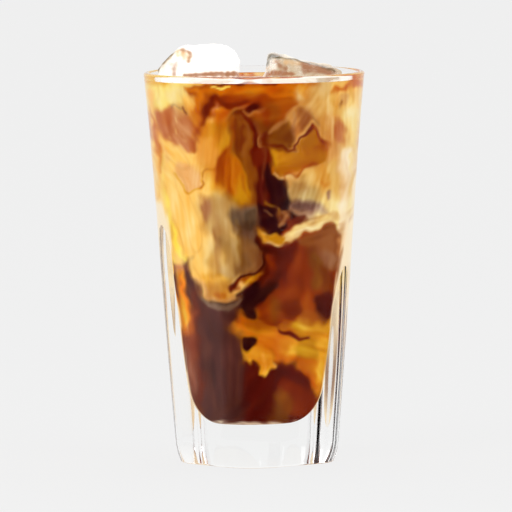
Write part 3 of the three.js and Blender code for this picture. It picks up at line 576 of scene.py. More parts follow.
    strand("rose tan", 2, (-23.6, 56, 1.6), (-25, 50, 3.4), (-25, 40, 4), (-23.6, 30, 3.4),
           (-22.4, 22, 2), strength=0.6),
    strand("taupe", 0.9, (-19.8, 62.4, 1.2), (-17, 59.4, 2.4), (-13, 58.2, 3), (-9, 58.8, 2.8),
           (-5.8, 61.2, 1.4)),
    strand("smoke", 0.6, (-16, 60.4, 0.8), (-12.6, 59.6, 1), (-8.6, 60.2, 0.8), strength=0.6),
    strand("chestnut", 1, (-21, 21.4, 1.4), (-19.4, 20.2, 2), (-17.6, 18.8, 1.4), strength=0.8),
    pool("wine", 0.7, (-4.6, 38), (-2.8, 36.6), (-1.6, 39), (-0.4, 37), (1, 33.4), (5, 33), (8.6, 33),
         (9, 18), (4, 14), (-4.6, 14), (-4.8, 26)),
    pool("coffee", 2.5, (-20, 50), (-6, 50), (-5, 36), (-5, 16), (-22, 18), (-22, 40), strength=0.5),
    # dark arch at the lower right
    pool("wine", 0.8, (4.6, 34), (7, 35.2), (9.4, 36.4), (13, 35.8), (16.4, 34), (19, 31), (20.6, 27.6),
         (23.4, 24), (22.6, 18), (14, 14), (3, 14), (2, 28)),
    pool("rust", 1.6, (8, 30), (14, 31), (19, 28), (21.6, 23), (20, 18), (12, 17), (8, 22), strength=0.6),
    pool("olive", 1.6, (6.6, 26), (10, 27), (12.6, 22), (9, 17), (3, 16), (5, 20), strength=0.5),
    strand("maroon", 0.9, (9, 36, 1), (13.6, 35, 1.2), (17.4, 32.4, 1.4), (20, 28, 1.2),
           (22.6, 24.6, 0.8), strength=0.5),
    # painted highlight: a pale line where the drink meets the wall low down
    strand("cream", 1, (-31.6, 64, 0.6), (-30, 54, 0.8), (-28.6, 46, 0.9), (-26.8, 36, 0.9),
           (-25.4, 27, 0.9), (-23.6, 21, 0.8), (-19, 17.2, 1), (-12, 15.4, 1.1), strength=0.85),
    strand("cream", 0.8, (-12, 15.4, 1.1), (0, 14.9, 1.2), (12, 15.4, 1.1), (19, 17, 0.8),
           (23.6, 21, 0.9), (25.6, 28, 1), (27.6, 38, 1.2), (29.2, 50, 1.2), strength=0.85),
    # small strokes that cross several fields
    pool("pale milk", 2.2, (15, 139), (30, 139), (32, 131), (24, 130), (18, 133), strength=0.45),
    strand("maroon", 0.9, (12.4, 90.4, 2.6), (15.6, 90.8, 3.2), (18.4, 92.4, 2.2), strength=0.85),
    pool("black coffee", 0.9, (6.2, 108), (9.6, 106), (12.2, 102.8), (12.6, 99.4), (11.6, 96.8),
         (8, 95.8), (6.2, 100)),
    strand("maroon", 0.8, (1, 84.4, 1.4), (3.2, 82.8, 2), (5.6, 81.6, 1.6), strength=0.75),
    strand("rust", 0.9, (-6.8, 67.4, 1.4), (-4.2, 68.4, 1.8), (-1.6, 69.8, 1), strength=0.7),
    # painted grey shade over the pale milk
    veil("grey veil", 2, (13, 105), (18.4, 106), (23, 102), (22, 96), (14, 96)),
    strand("rust", 2, (-22.6, 64, 2), (-23, 54, 3), (-22.6, 44, 3), (-21.6, 34, 2.6), (-20, 24, 2),
           strength=0.5),
    strand("orange", 1.2, (21, 31, 1.6), (22.4, 26.6, 1.8), (22, 22, 1.2), strength=0.6),
    strand("tan", 1, (-33, 96, 1), (-32.6, 90, 1.4), (-31.8, 84, 1), strength=0.4),
    strand("rose tan", 0.9, (-31.4, 73.6, 1.2), (-30.6, 69, 1.8), (-29.6, 64, 1.4), strength=0.8),
    veil("thin coffee", 1.5, (30.6, 86), (34.6, 88), (34, 70), (31, 62), (28, 62), (29, 74), strength=0.5),
    strand("honey", 1.2, (27, 42, 2.6), (26.2, 34, 3), (25, 27, 2.8), (23.4, 22, 1.6)),
    strand("butter", 0.8, (27.4, 38, 0.8), (26.4, 31, 1), (25, 26, 0.8), strength=0.6),
    strand("black coffee", 0.8, (-7, 63, 1.2), (-4.4, 64.6, 2.2), (0, 66, 2.4), strength=0.85),
    strand("wine", 0.9, (2, 81.6, 1.6), (5, 79.8, 3), (8, 78.4, 2.4), strength=0.85),
    # painted grey shade in the middle
    veil("grey veil", 2.5, (-18, 82), (-8, 84), (-3, 78), (-3, 71), (-9, 69), (-17, 72), strength=0.8),
    veil("thin coffee", 2.5, (-13.6, 116), (-8, 116), (-6, 108), (-7, 102), (-12, 101), (-14, 106)),
    strand("brown", 0.6, (6.6, 118, 0.9), (11.6, 116.6, 1), (14.6, 117, 0.8), strength=0.7),
    # where the surface meets the wall
    strand("butter", 0.4, (-15.4, 140.5, 0.7), (-12, 140.7, 1), (-9, 140.5, 0.7), strength=0.9),
    strand("wine", 0.4, (-14.6, 142.1, 0.6), (-10.6, 142.4, 0.9), (-7.4, 142.2, 0.8), (-3.4, 142.1, 0.8),
           strength=0.8),
    strand("chestnut", 0.5, (-24, 141.4, 0.6), (-19, 141.6, 0.8), (-15, 141.8, 0.7), strength=0.8),
    strand("maroon", 0.5, (2, 142.2, 0.5), (8, 142.3, 0.7), (13, 142.2, 0.5), strength=0.6),
    # thin coffee over the milk, and veils that darken it, of which the grey and plum ones are painted shade
    veil("thin coffee", 1.5, (-37, 133), (-30, 135), (-22, 129), (-21, 121), (-25, 116), (-31, 120),
         (-37, 127), strength=0.6),
    veil("thin coffee", 3, (12, 132), (16, 138), (26, 139), (32, 136), (32, 127), (30, 120), (33, 112),
         (33, 101), (26, 100), (17, 103), (10, 104), (9, 112), (10, 124), strength=0.8),
    veil("thin coffee", 2.5, (-26, 132), (-21, 134), (-12, 131), (-9, 128), (-10, 121), (-15, 108),
         (-20, 108), (-22, 118), strength=0.8),
    # painted grey shade over the middle
    veil("grey veil", 3, (-20, 98), (-10, 101), (-5, 96), (0, 88), (2, 80), (0, 73), (-6, 68), (-10, 68),
         (-9, 76), (-15, 84), (-20, 92), strength=0.9),
    veil("brown veil", 2, (-8, 90), (1, 90), (4, 84), (4, 74), (-2, 70), (-7, 72), (-5, 80), strength=0.8),
    # painted plum shade under the pale milk at the right
    veil("plum veil", 1.6, (11, 98), (16, 98.6), (22, 97), (23, 93), (20, 91.4), (14, 91), (12, 93)),
    veil("thin coffee", 2, (-9, 55), (12, 55), (14, 48), (9, 36), (0, 36), (-4, 44), strength=0.8),
    veil("dark veil", 3, (1, 80), (8, 79), (15, 82), (24, 78), (25, 62), (24, 52), (8, 53), (0, 52),
         (-4, 60), (0, 70)),
    veil("dark veil", 2, (2, 124), (8, 130), (14, 126), (13, 119), (3, 118), strength=0.6),
    veil("brown veil", 2, (-20, 66), (-12, 67), (-5, 66), (-4, 57), (-12, 57), (-18, 60), strength=0.6),
]


# Which way the milk was drawn out near some places: mm to the right, mm up, and degrees from level
MILK_FLOW = (
    (-34, 125, 100),
    (-29, 121, 130),
    (-28, 90, 100),
    (-14, 115, 84),
    (-8, 80, 98),
    (4, 136, 4),
    (3, 110, 95),
    (16, 126, 55),
    (33, 125, 88),
    (14, 112, 25),
    (24, 100, 75),
    (18, 88, 22),
    (20, 72, 84),
    (6, 66, 50),
    (4, 50, 165),
    (20, 46, 165),
    (25, 30, 118),
    (8, 25, 60),
    (-25, 55, 98),
    (-14, 35, 92),
)
# Square of the distance at which a flow's weight begins to fall
FLOW_CORE = 30


def flow_streaks(u, v, reach, stretch, seed):
    """A random field of about -1 to 1 that is drawn out along the milk's flow."""
    total = np.zeros_like(u)
    weights = np.zeros_like(u)
    for number, (flow_u, flow_v, degrees) in enumerate(MILK_FLOW):
        weight = 1 / (FLOW_CORE + (u - flow_u) ** 2 + (v - flow_v) ** 2) ** 3
        cosine, sine = math.cos(math.radians(degrees)), math.sin(math.radians(degrees))
        along = u * cosine + v * sine
        across = v * cosine - u * sine
        total += weight * wander(across, along, reach, seed + 100 * number, stretch)
        weights += weight
    return total / weights


def front_colour(u, v):
    """The front's marbling, with the painted shade, highlights and glow in it, and its feathered edges,
    streaks and fine threads.
    """
    du = 0.35 * wander(u, v, 6, seed=11) + 0.2 * wander(u, v, 2.4, seed=12, stretch=1.4)
    dv = 0.35 * wander(u, v, 7, seed=13) + 0.25 * wander(u, v, 2.6, seed=14, stretch=1.6)
    streak = flow_streaks(u, v, 1.2, stretch=7.0, seed=16)
    fold = flow_streaks(u + du, v + dv, 3.6, stretch=3.2, seed=17)
    colour = paint(u + du, v + dv, MARBLING_AND_PAINTED_LIGHT, "brown", 0.08 * streak + 0.2 * fold)
    lightness = colour.mean(axis=1)
    thread_width = 0.6
    thread_strength = 0.12
    thread = soft_step(1 - np.abs(flow_streaks(u, v, 4.2, stretch=5.0, seed=18)) / thread_width)
    in_milk = thread_strength * thread * soft_step((lightness - 0.4) / 0.3)
    in_coffee = thread_strength * thread * soft_step((0.35 - lightness) / 0.2)
    colour = blend(colour, shade(THREAD_IN_MILK), in_milk[:, None])
    colour = blend(colour, shade(THREAD_IN_COFFEE), in_coffee[:, None])
    thickness = 1 + (0.045 * streak + 0.1 * fold) * (0.3 + soft_step(lightness / 0.6))
    return np.clip(colour, 0, 1) ** thickness[:, None]


# Shapes


def roundness_at(z):
    """How round the section is at a height: it stays square for most of the way up."""
    return FOOT_ROUNDNESS + (1 - FOOT_ROUNDNESS) * (z / GLASS_HEIGHT) ** ROUNDING_POWER


def corner_share(roundness):
    """Reach of a rounded square's corners for each unit of its half side."""
    return math.sqrt(2) - (math.sqrt(2) - 1) * roundness


def half_side_at(z):
    """Half the width across the flats of the glass at a height, from the outline that its corners set."""
    share = z / GLASS_HEIGHT
    foot_reach = FOOT_HALF_SIDE * corner_share(FOOT_ROUNDNESS)
    straight = foot_reach + (RIM_RADIUS - RIM_FLARE - foot_reach) * share
    bow = 4 * CORNER_BOW * share * (1 - share)
    corner_reach = straight + bow + RIM_FLARE * share**RIM_FLARE_POWER
    return corner_reach / corner_share(roundness_at(z))


def heel_inset_at(z):
    """How much the heel and the foot's edge draw the wall in at a height."""
    heel = HEEL_INSET * max(0.0, 1 - z / HEEL_HEIGHT) ** 2
    above_edge = max(0.0, FOOT_EDGE_RADIUS - z)
    edge = FOOT_EDGE_RADIUS - math.sqrt(FOOT_EDGE_RADIUS**2 - above_edge**2)
    return heel + edge


def outside_reach(z, angle):
    """Distance from the axis to the glass's outside at a height, for an array of directions."""
    half_side = half_side_at(z) - heel_inset_at(z)
    corner = half_side * roundness_at(z)
    flat = half_side - corner
    cosine = np.abs(np.cos(angle - FOOT_TURN))
    sine = np.abs(np.sin(angle - FOOT_TURN))
    along = np.maximum(cosine, sine)
    across = np.minimum(cosine, sine)
    round_part = corner**2 - (flat * (along - across)) ** 2
    on_corner = flat * (along + across) + np.sqrt(np.maximum(round_part, 0))
    return np.where(half_side * across / along <= flat, half_side / along, on_corner)


def cavity_radius_at(z):
    """Radius of the round cavity at a height: a cone that sags in above its waist."""
    share = np.clip((z - CAVITY_WAIST_HEIGHT) / (GLASS_HEIGHT - CAVITY_WAIST_HEIGHT), 0, 1)
    highest = 4 / 27
    sag = CAVITY_SAG * share**2 * (1 - share) / highest
    return CAVITY_WAIST_RADIUS + CAVITY_SLOPE * (z - CAVITY_WAIST_HEIGHT) - sag


def cavity_heel(reach):
    """Radii and heights of the cavity's rounded bottom, from the wall down to the flat, grown by a reach."""
    lean = math.atan(CAVITY_SLOPE)
    radius = CAVITY_HEEL_RADIUS + reach
    centre_radius = cavity_radius_at(CAVITY_HEEL_TOP) - CAVITY_HEEL_RADIUS / math.cos(lean)
    turns = np.linspace(-lean, -math.pi / 2, HEEL_STEPS)
    return [(centre_radius + radius * math.cos(a), CAVITY_HEEL_TOP + radius * math.sin(a)) for a in turns]


def circle(sides):
    """Directions all round the axis."""
    return np.linspace(0, 2 * math.pi, sides, endpoint=False)


def ring(angles, radius, z):
    """One closed ring of points at a height."""
    x = radius * np.cos(angles)
    y = radius * np.sin(angles)
    return np.stack([x, y, np.full(angles.shape, z)], axis=1)


def closed_loft(rings):
    """Points and faces through a stack of rings, shut at both ends by a fan round the axis."""
    count = len(rings[0])
    level = np.arange(len(rings) - 1)[:, None] * count
    here = np.arange(count)
    after = (here + 1) % count
    quads = np.stack([level + here, level + after, level + count + after, level + count + here], axis=2)
    points = np.vstack(rings)
    first = len(points)
    last_ring = (len(rings) - 1) * count
    middles = [(0, 0, rings[0][:, 2].mean()), (0, 0, rings[-1][:, 2].mean())]
    faces = quads.reshape(-1, 4).tolist()
    faces += [(first, int(b), int(a)) for a, b in zip(here, after)]
    faces += [(first + 1, int(last_ring + a), int(last_ring + b)) for a, b in zip(here, after)]
    return np.vstack([points, middles]), faces


def loft_shut_once(rings):
    """The same, left open at its last ring, as a floor is."""
    points, faces = closed_loft(rings)
    return points[:-1], [face for face in faces if len(points) - 1 not in face]


def make_piece(name, points, faces):
    """A smooth mesh object from points in millimetres."""
    mesh = bpy.data.meshes.new(name)
    mesh.from_pydata((np.asarray(points) * MM).tolist(), [], faces)
    mesh.shade_smooth()
    piece = bpy.data.objects.new(name, mesh)
    bpy.context.scene.collection.objects.link(piece)
    return piece


def with_modifiers_applied(piece):
    """Turns a piece with modifiers into a plain mesh."""
    bpy.context.view_layer.update()
    graph = bpy.context.evaluated_depsgraph_get()
    made = bpy.data.meshes.new_from_object(piece.evaluated_get(graph))
    old = piece.data
    piece.modifiers.clear()
    piece.data = made
    made.name = old.name
    bpy.data.meshes.remove(old)
    return piece


def glass_mesh():
    """The glass from the middle of its underside up the outside, over the lip and down the cavity."""
    angles = circle(GLASS_SIDES)
    rings = []
    for share in (0.12, 0.3, 0.5, 0.7, 0.85, 0.94, 0.98):
        rings.append(ring(angles, share * outside_reach(0.0, angles), 0.0))
    lip_radius = LIP_THICKNESS / 2
    lip_height = GLASS_HEIGHT - lip_radius
    edge_heights = FOOT_EDGE_RADIUS * (1 - np.cos(np.linspace(0, math.pi / 2, 6)))
    heel_heights = np.linspace(FOOT_EDGE_RADIUS + 0.6, HEEL_HEIGHT, 7)
    wall_heights = np.linspace(HEEL_HEIGHT + 1.4, lip_height, 88)
    for z in np.concatenate([edge_heights, heel_heights, wall_heights]):
        rings.append(ring(angles, outside_reach(z, angles), z))
    for over in np.linspace(0, math.pi, 13)[1:]:
        inwards = (1 - math.cos(over)) / 2
        outer = outside_reach(lip_height, angles)
        radius = outer + (cavity_radius_at(lip_height) - outer) * inwards
        rings.append(ring(angles, radius, lip_height + lip_radius * math.sin(over)))
    heel = cavity_heel(0.0)
    for z in np.linspace(lip_height, heel[0][1], 80)[1:-1]:
        rings.append(ring(angles, cavity_radius_at(z), z))
    for radius, z in heel:
        rings.append(ring(angles, radius, z))
    for share in (0.8, 0.55, 0.3, 0.1):
        rings.append(ring(angles, heel[-1][0] * share, heel[-1][1]))
    return closed_loft(rings)


def drink_mesh(reach, meniscus):
    """The whole drink, before room is cut for the ice. Its front is split more finely than its back."""
    front_half = math.radians(104)
    front_angles = np.linspace(-front_half, front_half, DRINK_FRONT_SIDES)
    back_angles = np.linspace(front_half, 2 * math.pi - front_half, DRINK_BACK_SIDES)[1:-1]
    angles = FRONT + np.concatenate([front_angles, back_angles])
    heel = cavity_heel(reach)[::-1]
    rings = []
    for share in (0.08, 0.25, 0.45, 0.65, 0.85):
        rings.append(ring(angles, heel[0][0] * share, heel[0][1]))
    for radius, z in heel:
        rings.append(ring(angles, radius, z))
    for z in np.linspace(heel[-1][1], DRINK_LEVEL + meniscus, DRINK_LEVELS)[1:]:
        rings.append(ring(angles, cavity_radius_at(z) + reach, z))
    top_radius = cavity_radius_at(DRINK_LEVEL)
    insets = np.concatenate([np.linspace(0.1, 3.0, 8), np.linspace(4.4, top_radius - 2, 22)])
    for inset in insets:
        rings.append(ring(angles, top_radius - inset, DRINK_LEVEL + meniscus * math.exp(-inset / meniscus)))
    return closed_loft(rings)


# Ice that stands out of the drink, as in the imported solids. A block's rounding changes from its left side
# to its right side, its top and bottom are dished, and a plane at some distance from its middle takes off
# the corner that has melted away. Angles are in degrees.
ICE_BLOCKS = {
    "ice_left": {
        "size": (30.5, 23.0, 29.0),
        "round_left": 6.0,
        "round_right": 8.5,
        "foot_shrink": 0.12,
        "dish": 0.4,
        "lost_corner": (-1.0, 0.1, 1.0),
        "lost_distance": 13.7,
        "tilt": 0.0,
        "turn": -8.0,
        "place": (-20.6, 3.2, 142.4),
        "seed": 60,
    },
    "ice_right": {
        "size": (27.5, 24.0, 25.0),
        "round_left": 2.8,
        "round_right": 4.6,
        "foot_shrink": 0.08,
        "dish": 1.3,
        "lost_corner": (1.0, 0.2, 1.0),
        "lost_distance": 16.2,
        "tilt": 12.0,
        "turn": 7.0,
        "place": (17.1, -3.0, 138.8),
        "seed": 70,
    },
}


def cube_grid(steps):
    """Points and faces of a cube of 2 with every side split into steps, its edges shared."""
    places = {}
    faces = []
    line = np.linspace(-1, 1, steps + 1)

    def corner(axis, side, i, j):
        spot = [0.0, 0.0, 0.0]
        spot[axis] = side
        spot[(axis + 1) % 3] = line[i]
        spot[(axis + 2) % 3] = line[j]
        key = tuple(round(value, 6) for value in spot)
        return places.setdefault(key, len(places))

    for axis in range(3):
        for side in (-1.0, 1.0):
            for i in range(steps):
                for j in range(steps):
                    face = [
                        corner(axis, side, i, j),
                        corner(axis, side, i + 1, j),
                        corner(axis, side, i + 1, j + 1),
                        corner(axis, side, i, j + 1),
                    ]
                    faces.append(face if side > 0 else face[::-1])
    return np.array(list(places)), faces


def ice_mesh(block, grow, dents, steps):
    """A block of ice with melted edges, narrower at its foot, set down where it floats."""
    grid, faces = cube_grid(steps)
    half = np.array(block["size"]) / 2
    lost = np.array(block["lost_corner"]) / np.linalg.norm(block["lost_corner"])
    round_off = block["round_left"] + (block["round_right"] - block["round_left"]) * (grid[:, :1] + 1) / 2
    foot = 1 - block["foot_shrink"] * (1 - grid[:, 2]) / 2
    sunk = block["dish"] * (1 - grid[:, 0] ** 2) * (1 - grid[:, 1] ** 2) * grid[:, 2]
    points = grid * half
    inner = np.clip(points, -(half - round_off), half - round_off)
    outward = points - inner
    outward /= np.linalg.norm(outward, axis=1)[:, None]
    x, y, z = points.T
    melt = dents * wander(x + z, y - z * 0.6, 7, seed=block["seed"])
    melt += dents * 0.35 * wander(x - z, y + z, 2.6, seed=block["seed"] + 1)
    points = inner + outward * (round_off + grow + melt[:, None])
    points[:, :2] *= foot[:, None]
    points[:, 2] -= sunk
    past = points @ lost - (block["lost_distance"] + grow)
    points -= lost * np.maximum(past, 0)[:, None]
    turn = Matrix.Rotation(math.radians(block["turn"]), 3, "Z")
    tilt = Matrix.Rotation(math.radians(block["tilt"]), 3, "Y")
    return points @ np.array(tilt @ turn).T + np.array(block["place"]), faces


# How the drink's skin appears through the wall from the front


def front_view_table():
    """For some heights, where each direction of the cavity is seen through the wall from the front.

    A ray from the viewer meets the wall somewhere between its left and right edge, is bent there as glass
    bends light, and goes on to the cavity.
    """
    left_edge = np.linspace(-1, -0.8, 120)
    middle = np.linspace(-0.79, 0.79, 160)
    sideways = np.concatenate([left_edge, middle, -left_edge[::-1]])
    just_inside = 0.9995
    around = np.linspace(-math.pi, 0, 721)
    table = []
    for z in np.linspace(BASE_THICKNESS, DRINK_LEVEL + 2, 27):
        reach = outside_reach(z, around)
        wall_x = reach * np.cos(around)
        wall_y = reach * np.sin(around)
        shown = slice(wall_x.argmin(), wall_x.argmax() + 1)
        wall_x, wall_y = wall_x[shown], wall_y[shown]
        x = sideways * wall_x.max() * just_inside
        y = np.interp(x, wall_x, wall_y)
        slope = np.interp(x, (wall_x[1:] + wall_x[:-1]) / 2, np.diff(wall_y) / np.diff(wall_x))
        normal = np.stack([slope, -np.ones_like(slope)]) / np.hypot(slope, 1)
        cosine = -normal[1]
        bent = 1 / GLASS_IOR
        inside = np.sqrt(1 - bent**2 * (1 - cosine**2))
        ray = bent * np.array([[0.0], [1.0]]) + (bent * cosine - inside) * normal
        radius = cavity_radius_at(max(z, CAVITY_HEEL_TOP))
        nearest = x * ray[0] + y * ray[1]
        gap = nearest**2 - (x**2 + y**2 - radius**2)
        hits = gap > 0
        way = -nearest[hits] - np.sqrt(gap[hits])
        turn = np.arctan2(x[hits] + way * ray[0][hits], -(y[hits] + way * ray[1][hits]))
        table.append((z, turn, x[hits]))
    return table


def seen_from_front(points):
    """Where points of the drink's skin appear from the front, to the right and up, and their turn from it."""
    x, y, z = points.T
    turn = np.arctan2(x, -y)
    table = front_view_table()
    heights = np.array([row[0] for row in table])
    columns = np.stack([np.interp(turn, row[1], row[2]) for row in table])
    place = np.clip((z - heights[0]) / (heights[1] - heights[0]), 0, len(heights) - 1.001)
    low = place.astype(int)
    share = place - low
    every = np.arange(len(z))
    across = columns[low, every] * (1 - share) + columns[low + 1, every] * share
    full = cavity_radius_at(np.maximum(z, CAVITY_HEEL_TOP))
    across *= np.clip(np.hypot(x, y) / full, 0, 1)
    fall = CAMERA_ELEVATION + (GLASS_HEIGHT / 2 - z) / CAMERA_DISTANCE
    return across, z * np.cos(fall) + y * np.sin(fall), turn


def drink_colour(points):
    """The colour of the drink's skin: set in front, and behind the same swirls drawn out of shape."""
    x, y, z = points.T
    across, up, turn = seen_from_front(points)
    turned = np.degrees(np.abs(turn))
    colour = np.zeros((len(points), 3))
    behind = soft_step((turned - 80) / 22)
    front = behind < 1
    colour[front] = front_colour(across[front], up[front])
    back = behind > 0
    behind_colour = back_colour(x[back], z[back], turned[back])
    colour[back] = blend(colour[back], behind_colour, behind[back][:, None])
    return colour


def back_colour(x, z, turned):
    """The drink's sides and back: the front's swirls drawn out of shape, and milkier coffee low down."""
    width = np.where(z < 40, 0.95, 1.0)
    du = 4.5 * wander(x, z, 17, seed=31) + 1.4 * wander(x, z, 6, seed=32)
    dv = 6.0 * wander(x, z, 21, seed=33) + 1.6 * wander(x, z, 7, seed=34)
    fade = np.clip((DRINK_LEVEL - z) / 14, 0, 1) * np.clip((z - BASE_THICKNESS) / 14, 0, 1)
    fade *= soft_step((turned - 88) / 40)
    colour = front_colour(x * width + du * fade, z + dv * fade)
    # the milk starts further round where orange coffee reaches the left edge of the view
    orange_edge = np.exp(-(((z - 69) / 9) ** 2)) * (x < 0)
    milk_from = 84 + 7 * soft_step(0.5 + 0.5 * wander(z, turned, 11, seed=37)) + 9 * orange_edge
    milk_top = 116 + 8 * wander(x, z, 12, seed=35)
    milk = soft_step((turned - milk_from) / 12) * soft_step((milk_top - z) / 14)
    milk *= 0.9 - 0.14 * soft_step((turned - 135) / 25) + 0.12 * wander(x, z, 8, seed=36, stretch=2.4)
    return blend(colour, shade("cream"), np.clip(milk, 0, 1)[:, None])


def surface_colour(points):
    """The colour of the drink's open surface: coffee stirred round by the ice, and a near white painted
    reflection over its front half.
    """
    x, y, _ = points.T
    bx = x + 3.0 * wander(x, y, 14, seed=41)
    by = y + 3.0 * wander(x, y, 14, seed=42)
    amount = 0.5 + 0.35 * wander(bx, by, 9, seed=43) + 0.2 * wander(bx, by, 3, seed=44)
    stops = (("rust", 0.0), ("chestnut", 0.35), ("amber", 0.6), ("tan", 0.85), ("sand", 1.1))
    places = [place for _, place in stops]
    colours = np.array([shade(name) for name, _ in stops])
    coffee = np.stack([np.interp(amount, places, colours[:, k]) for k in range(3)], axis=1)
    # painted reflection: the front half of the open surface, short of the very front, is made near white
    reflection_back = 11 + 3 * wander(bx, by, 9, seed=45)
    reflection_front = -34.5 - 1.2 * wander(bx, by, 8, seed=46)
    milk = soft_step((reflection_back - y) / 5) * soft_step((y - reflection_front) / 3)
    milk *= 0.97 - 0.14 * soft_step(wander(bx, by * 1.6, 5, seed=47) - 0.2)
    return blend(coffee, shade(PAINTED_SURFACE_REFLECTION), milk[:, None])


# The white, clear and brown parts of the ice as seen from the front, laid out as the marbling is
ICE_TINTS = {
    "snow": (255, 252, 248),
    "clear": (182, 164, 138),
    "amber ice": (214, 162, 104),
    "brown ice": (142, 92, 62),
    "stain": (150, 98, 66),
    "umber": (78, 66, 44),
}
COFFEE_AND_MILK.update(ICE_TINTS)

ICE_MARKS = {
    "ice_left": [
        strand("umber", 0.6, (-36.4, 146.6, 0.8), (-34, 149.6, 1), (-31.6, 152.4, 1), (-30, 154, 0.6),
               strength=0.85),
        strand("amber ice", 1.4, (-35, 147, 2), (-33, 149.6, 2.4), (-31, 151.6, 1.6), strength=0.25),
        strand("amber ice", 1.2, (-28.6, 153.6, 1.6), (-26, 153, 2.2), (-24.6, 151.6, 1.6), strength=0.75),
        strand("brown ice", 0.8, (-27.6, 154.4, 0.7), (-25, 154, 1), (-23.8, 152.4, 1.2),
               (-24.6, 150.8, 0.8), strength=0.6),
        strand("brown ice", 0.9, (-29.4, 149.8, 1), (-30.2, 147.6, 1.3), (-29.8, 145, 1), strength=0.6),
        strand("stain", 0.5, (-26, 145.2, 1), (-20, 145.3, 1.6), (-10, 145.3, 1.8), (2, 145.3, 1.8),
               strength=0.9),
    ],
    "ice_right": [
        pool("umber", 0.9, (2, 149.6), (3, 155), (9, 155.6), (11.4, 153), (9.6, 151.4), (6.6, 151),
             (5.4, 148.6)),
        strand("umber", 0.6, (4, 150.6, 1), (4, 147.4, 0.8), strength=0.7),
        pool("snow", 1.2, (5.6, 150.6), (8, 150.6), (8.4, 147.4), (6, 146.6), strength=0.6),
        strand("amber ice", 1.2, (12, 150, 1.6), (18, 149, 1.6), (24, 148.4, 1), strength=0.5),
        strand("brown ice", 1, (8.6, 149.8, 1), (10, 148, 2), (12, 146.8, 1.6), strength=0.7),
        pool("brown ice", 1, (17.6, 149.6), (24, 149), (28, 147.4), (31, 145), (25, 145.2), (18.6, 146),
             strength=0.85),
        strand("umber", 0.6, (11, 151.6, 0.7), (19, 149.8, 0.9), (25, 148.4, 1), (30, 146, 0.8),
               strength=0.65),
        strand("stain", 0.5, (2, 145.3, 1.8), (8, 145.4, 1.8), (12, 145.3, 1.6), (15, 145.2, 1),
               strength=0.9),
    ],
}


def ice_colour(points, node):
    """The tint and the cloudiness of a block: darker marks are less clear, and its far side is white."""
    x, y, z = points.T
    up = z * math.cos(CAMERA_ELEVATION) + y * math.sin(CAMERA_ELEVATION)
    shift = 0.15 * wander(x + y, z, 5, seed=71)
    snowy = node == "ice_left"
    feather = 0.25 * wander(x, up, 1.6, seed=73)
    colour = paint(x + shift, up + shift, ICE_MARKS[node], "snow" if snowy else "clear", feather)
    far = soft_step((y - y.min() - 13) / 9)
    colour = blend(colour, shade(FAR_ICE), 0.8 * far[:, None])
    darkness = 1 - colour.mean(axis=1)
    cloud = (0.9 if snowy else 0.35) + 1.6 * darkness + 0.2 * wander(x, z + y, 6, seed=72)
    return colour, np.clip(cloud, 0, 1)


def to_linear(colour):
    """From display values, 0 to 1, to light, by the usual sRGB curve."""
    return np.where(colour <= 0.04045, colour / 12.92, ((colour + 0.055) / 1.055) ** 2.4)


def store_colour(piece, name, colour, strength):
    """Keeps a colour and a fourth value for every point of a piece."""
    layer = piece.data.color_attributes.new(name, "FLOAT_COLOR", "POINT")
    rows = np.ones((len(piece.data.vertices), 4), np.float32)
    rows[:, :3] = to_linear(colour)
    rows[:, 3] = strength
    layer.data.foreach_set("color", rows.ravel())


def points_of(piece):
    """A piece's points in millimetres."""
    points = np.empty(len(piece.data.vertices) * 3, np.float32)
    piece.data.vertices.foreach_get("co", points)
    return points.reshape(-1, 3).astype(float) / MM


def face_middles(piece):
    """The middles of a piece's faces in millimetres."""
    middles = np.empty(len(piece.data.polygons) * 3, np.float32)
    piece.data.polygons.foreach_get("center", middles)
    return middles.reshape(-1, 3) / MM


def give_materials(piece, first, second, has_second):
    """Gives a piece two materials, and the second one to the marked faces."""
    piece.data.materials.clear()
    piece.data.materials.append(first)
    piece.data.materials.append(second)
    piece.data.polygons.foreach_set("material_index", has_second.astype(np.int32))


def off_the_wall(places, reach):
    """Which places on the drink lie on its open surface or round the ice, and not on the wall."""
    x, y, z = places.T
    return (np.hypot(x, y) < cavity_radius_at(z) + reach - SURFACE_MARGIN) & (z > CAVITY_HEEL_TOP)


# Materials


class Value:
    """A shader socket that adds and multiplies as a number does."""

    def __init__(self, look, socket):
        self.look = look
        self.socket = socket

    def math(self, operation, other):
        return self.look.node("ShaderNodeMath", {"operation": operation}, {0: self, 1: other}).out()

    def __add__(self, other):
        return self.math("ADD", other)

    __radd__ = __add__

    def __mul__(self, other):
        return self.math("MULTIPLY", other)

    __rmul__ = __mul__

    def clamped(self):
        """The same, held between 0 and 1."""
        result = self.math("MULTIPLY", 1.0)
        result.socket.node.use_clamp = True
        return result

    def ramp(self, low, high):
        """0 at `low`, 1 at `high` and smooth between."""
        settings = {"interpolation_type": "SMOOTHSTEP"}
        inputs = {"Value": self, "From Min": low, "From Max": high}
        return self.look.node("ShaderNodeMapRange", settings, inputs).out()


class Node:
    """A node whose outputs are taken by name or number."""

    def __init__(self, look, made):
        self.look = look
        self.made = made

    def out(self, name=0):
        return Value(self.look, self.made.outputs[name])


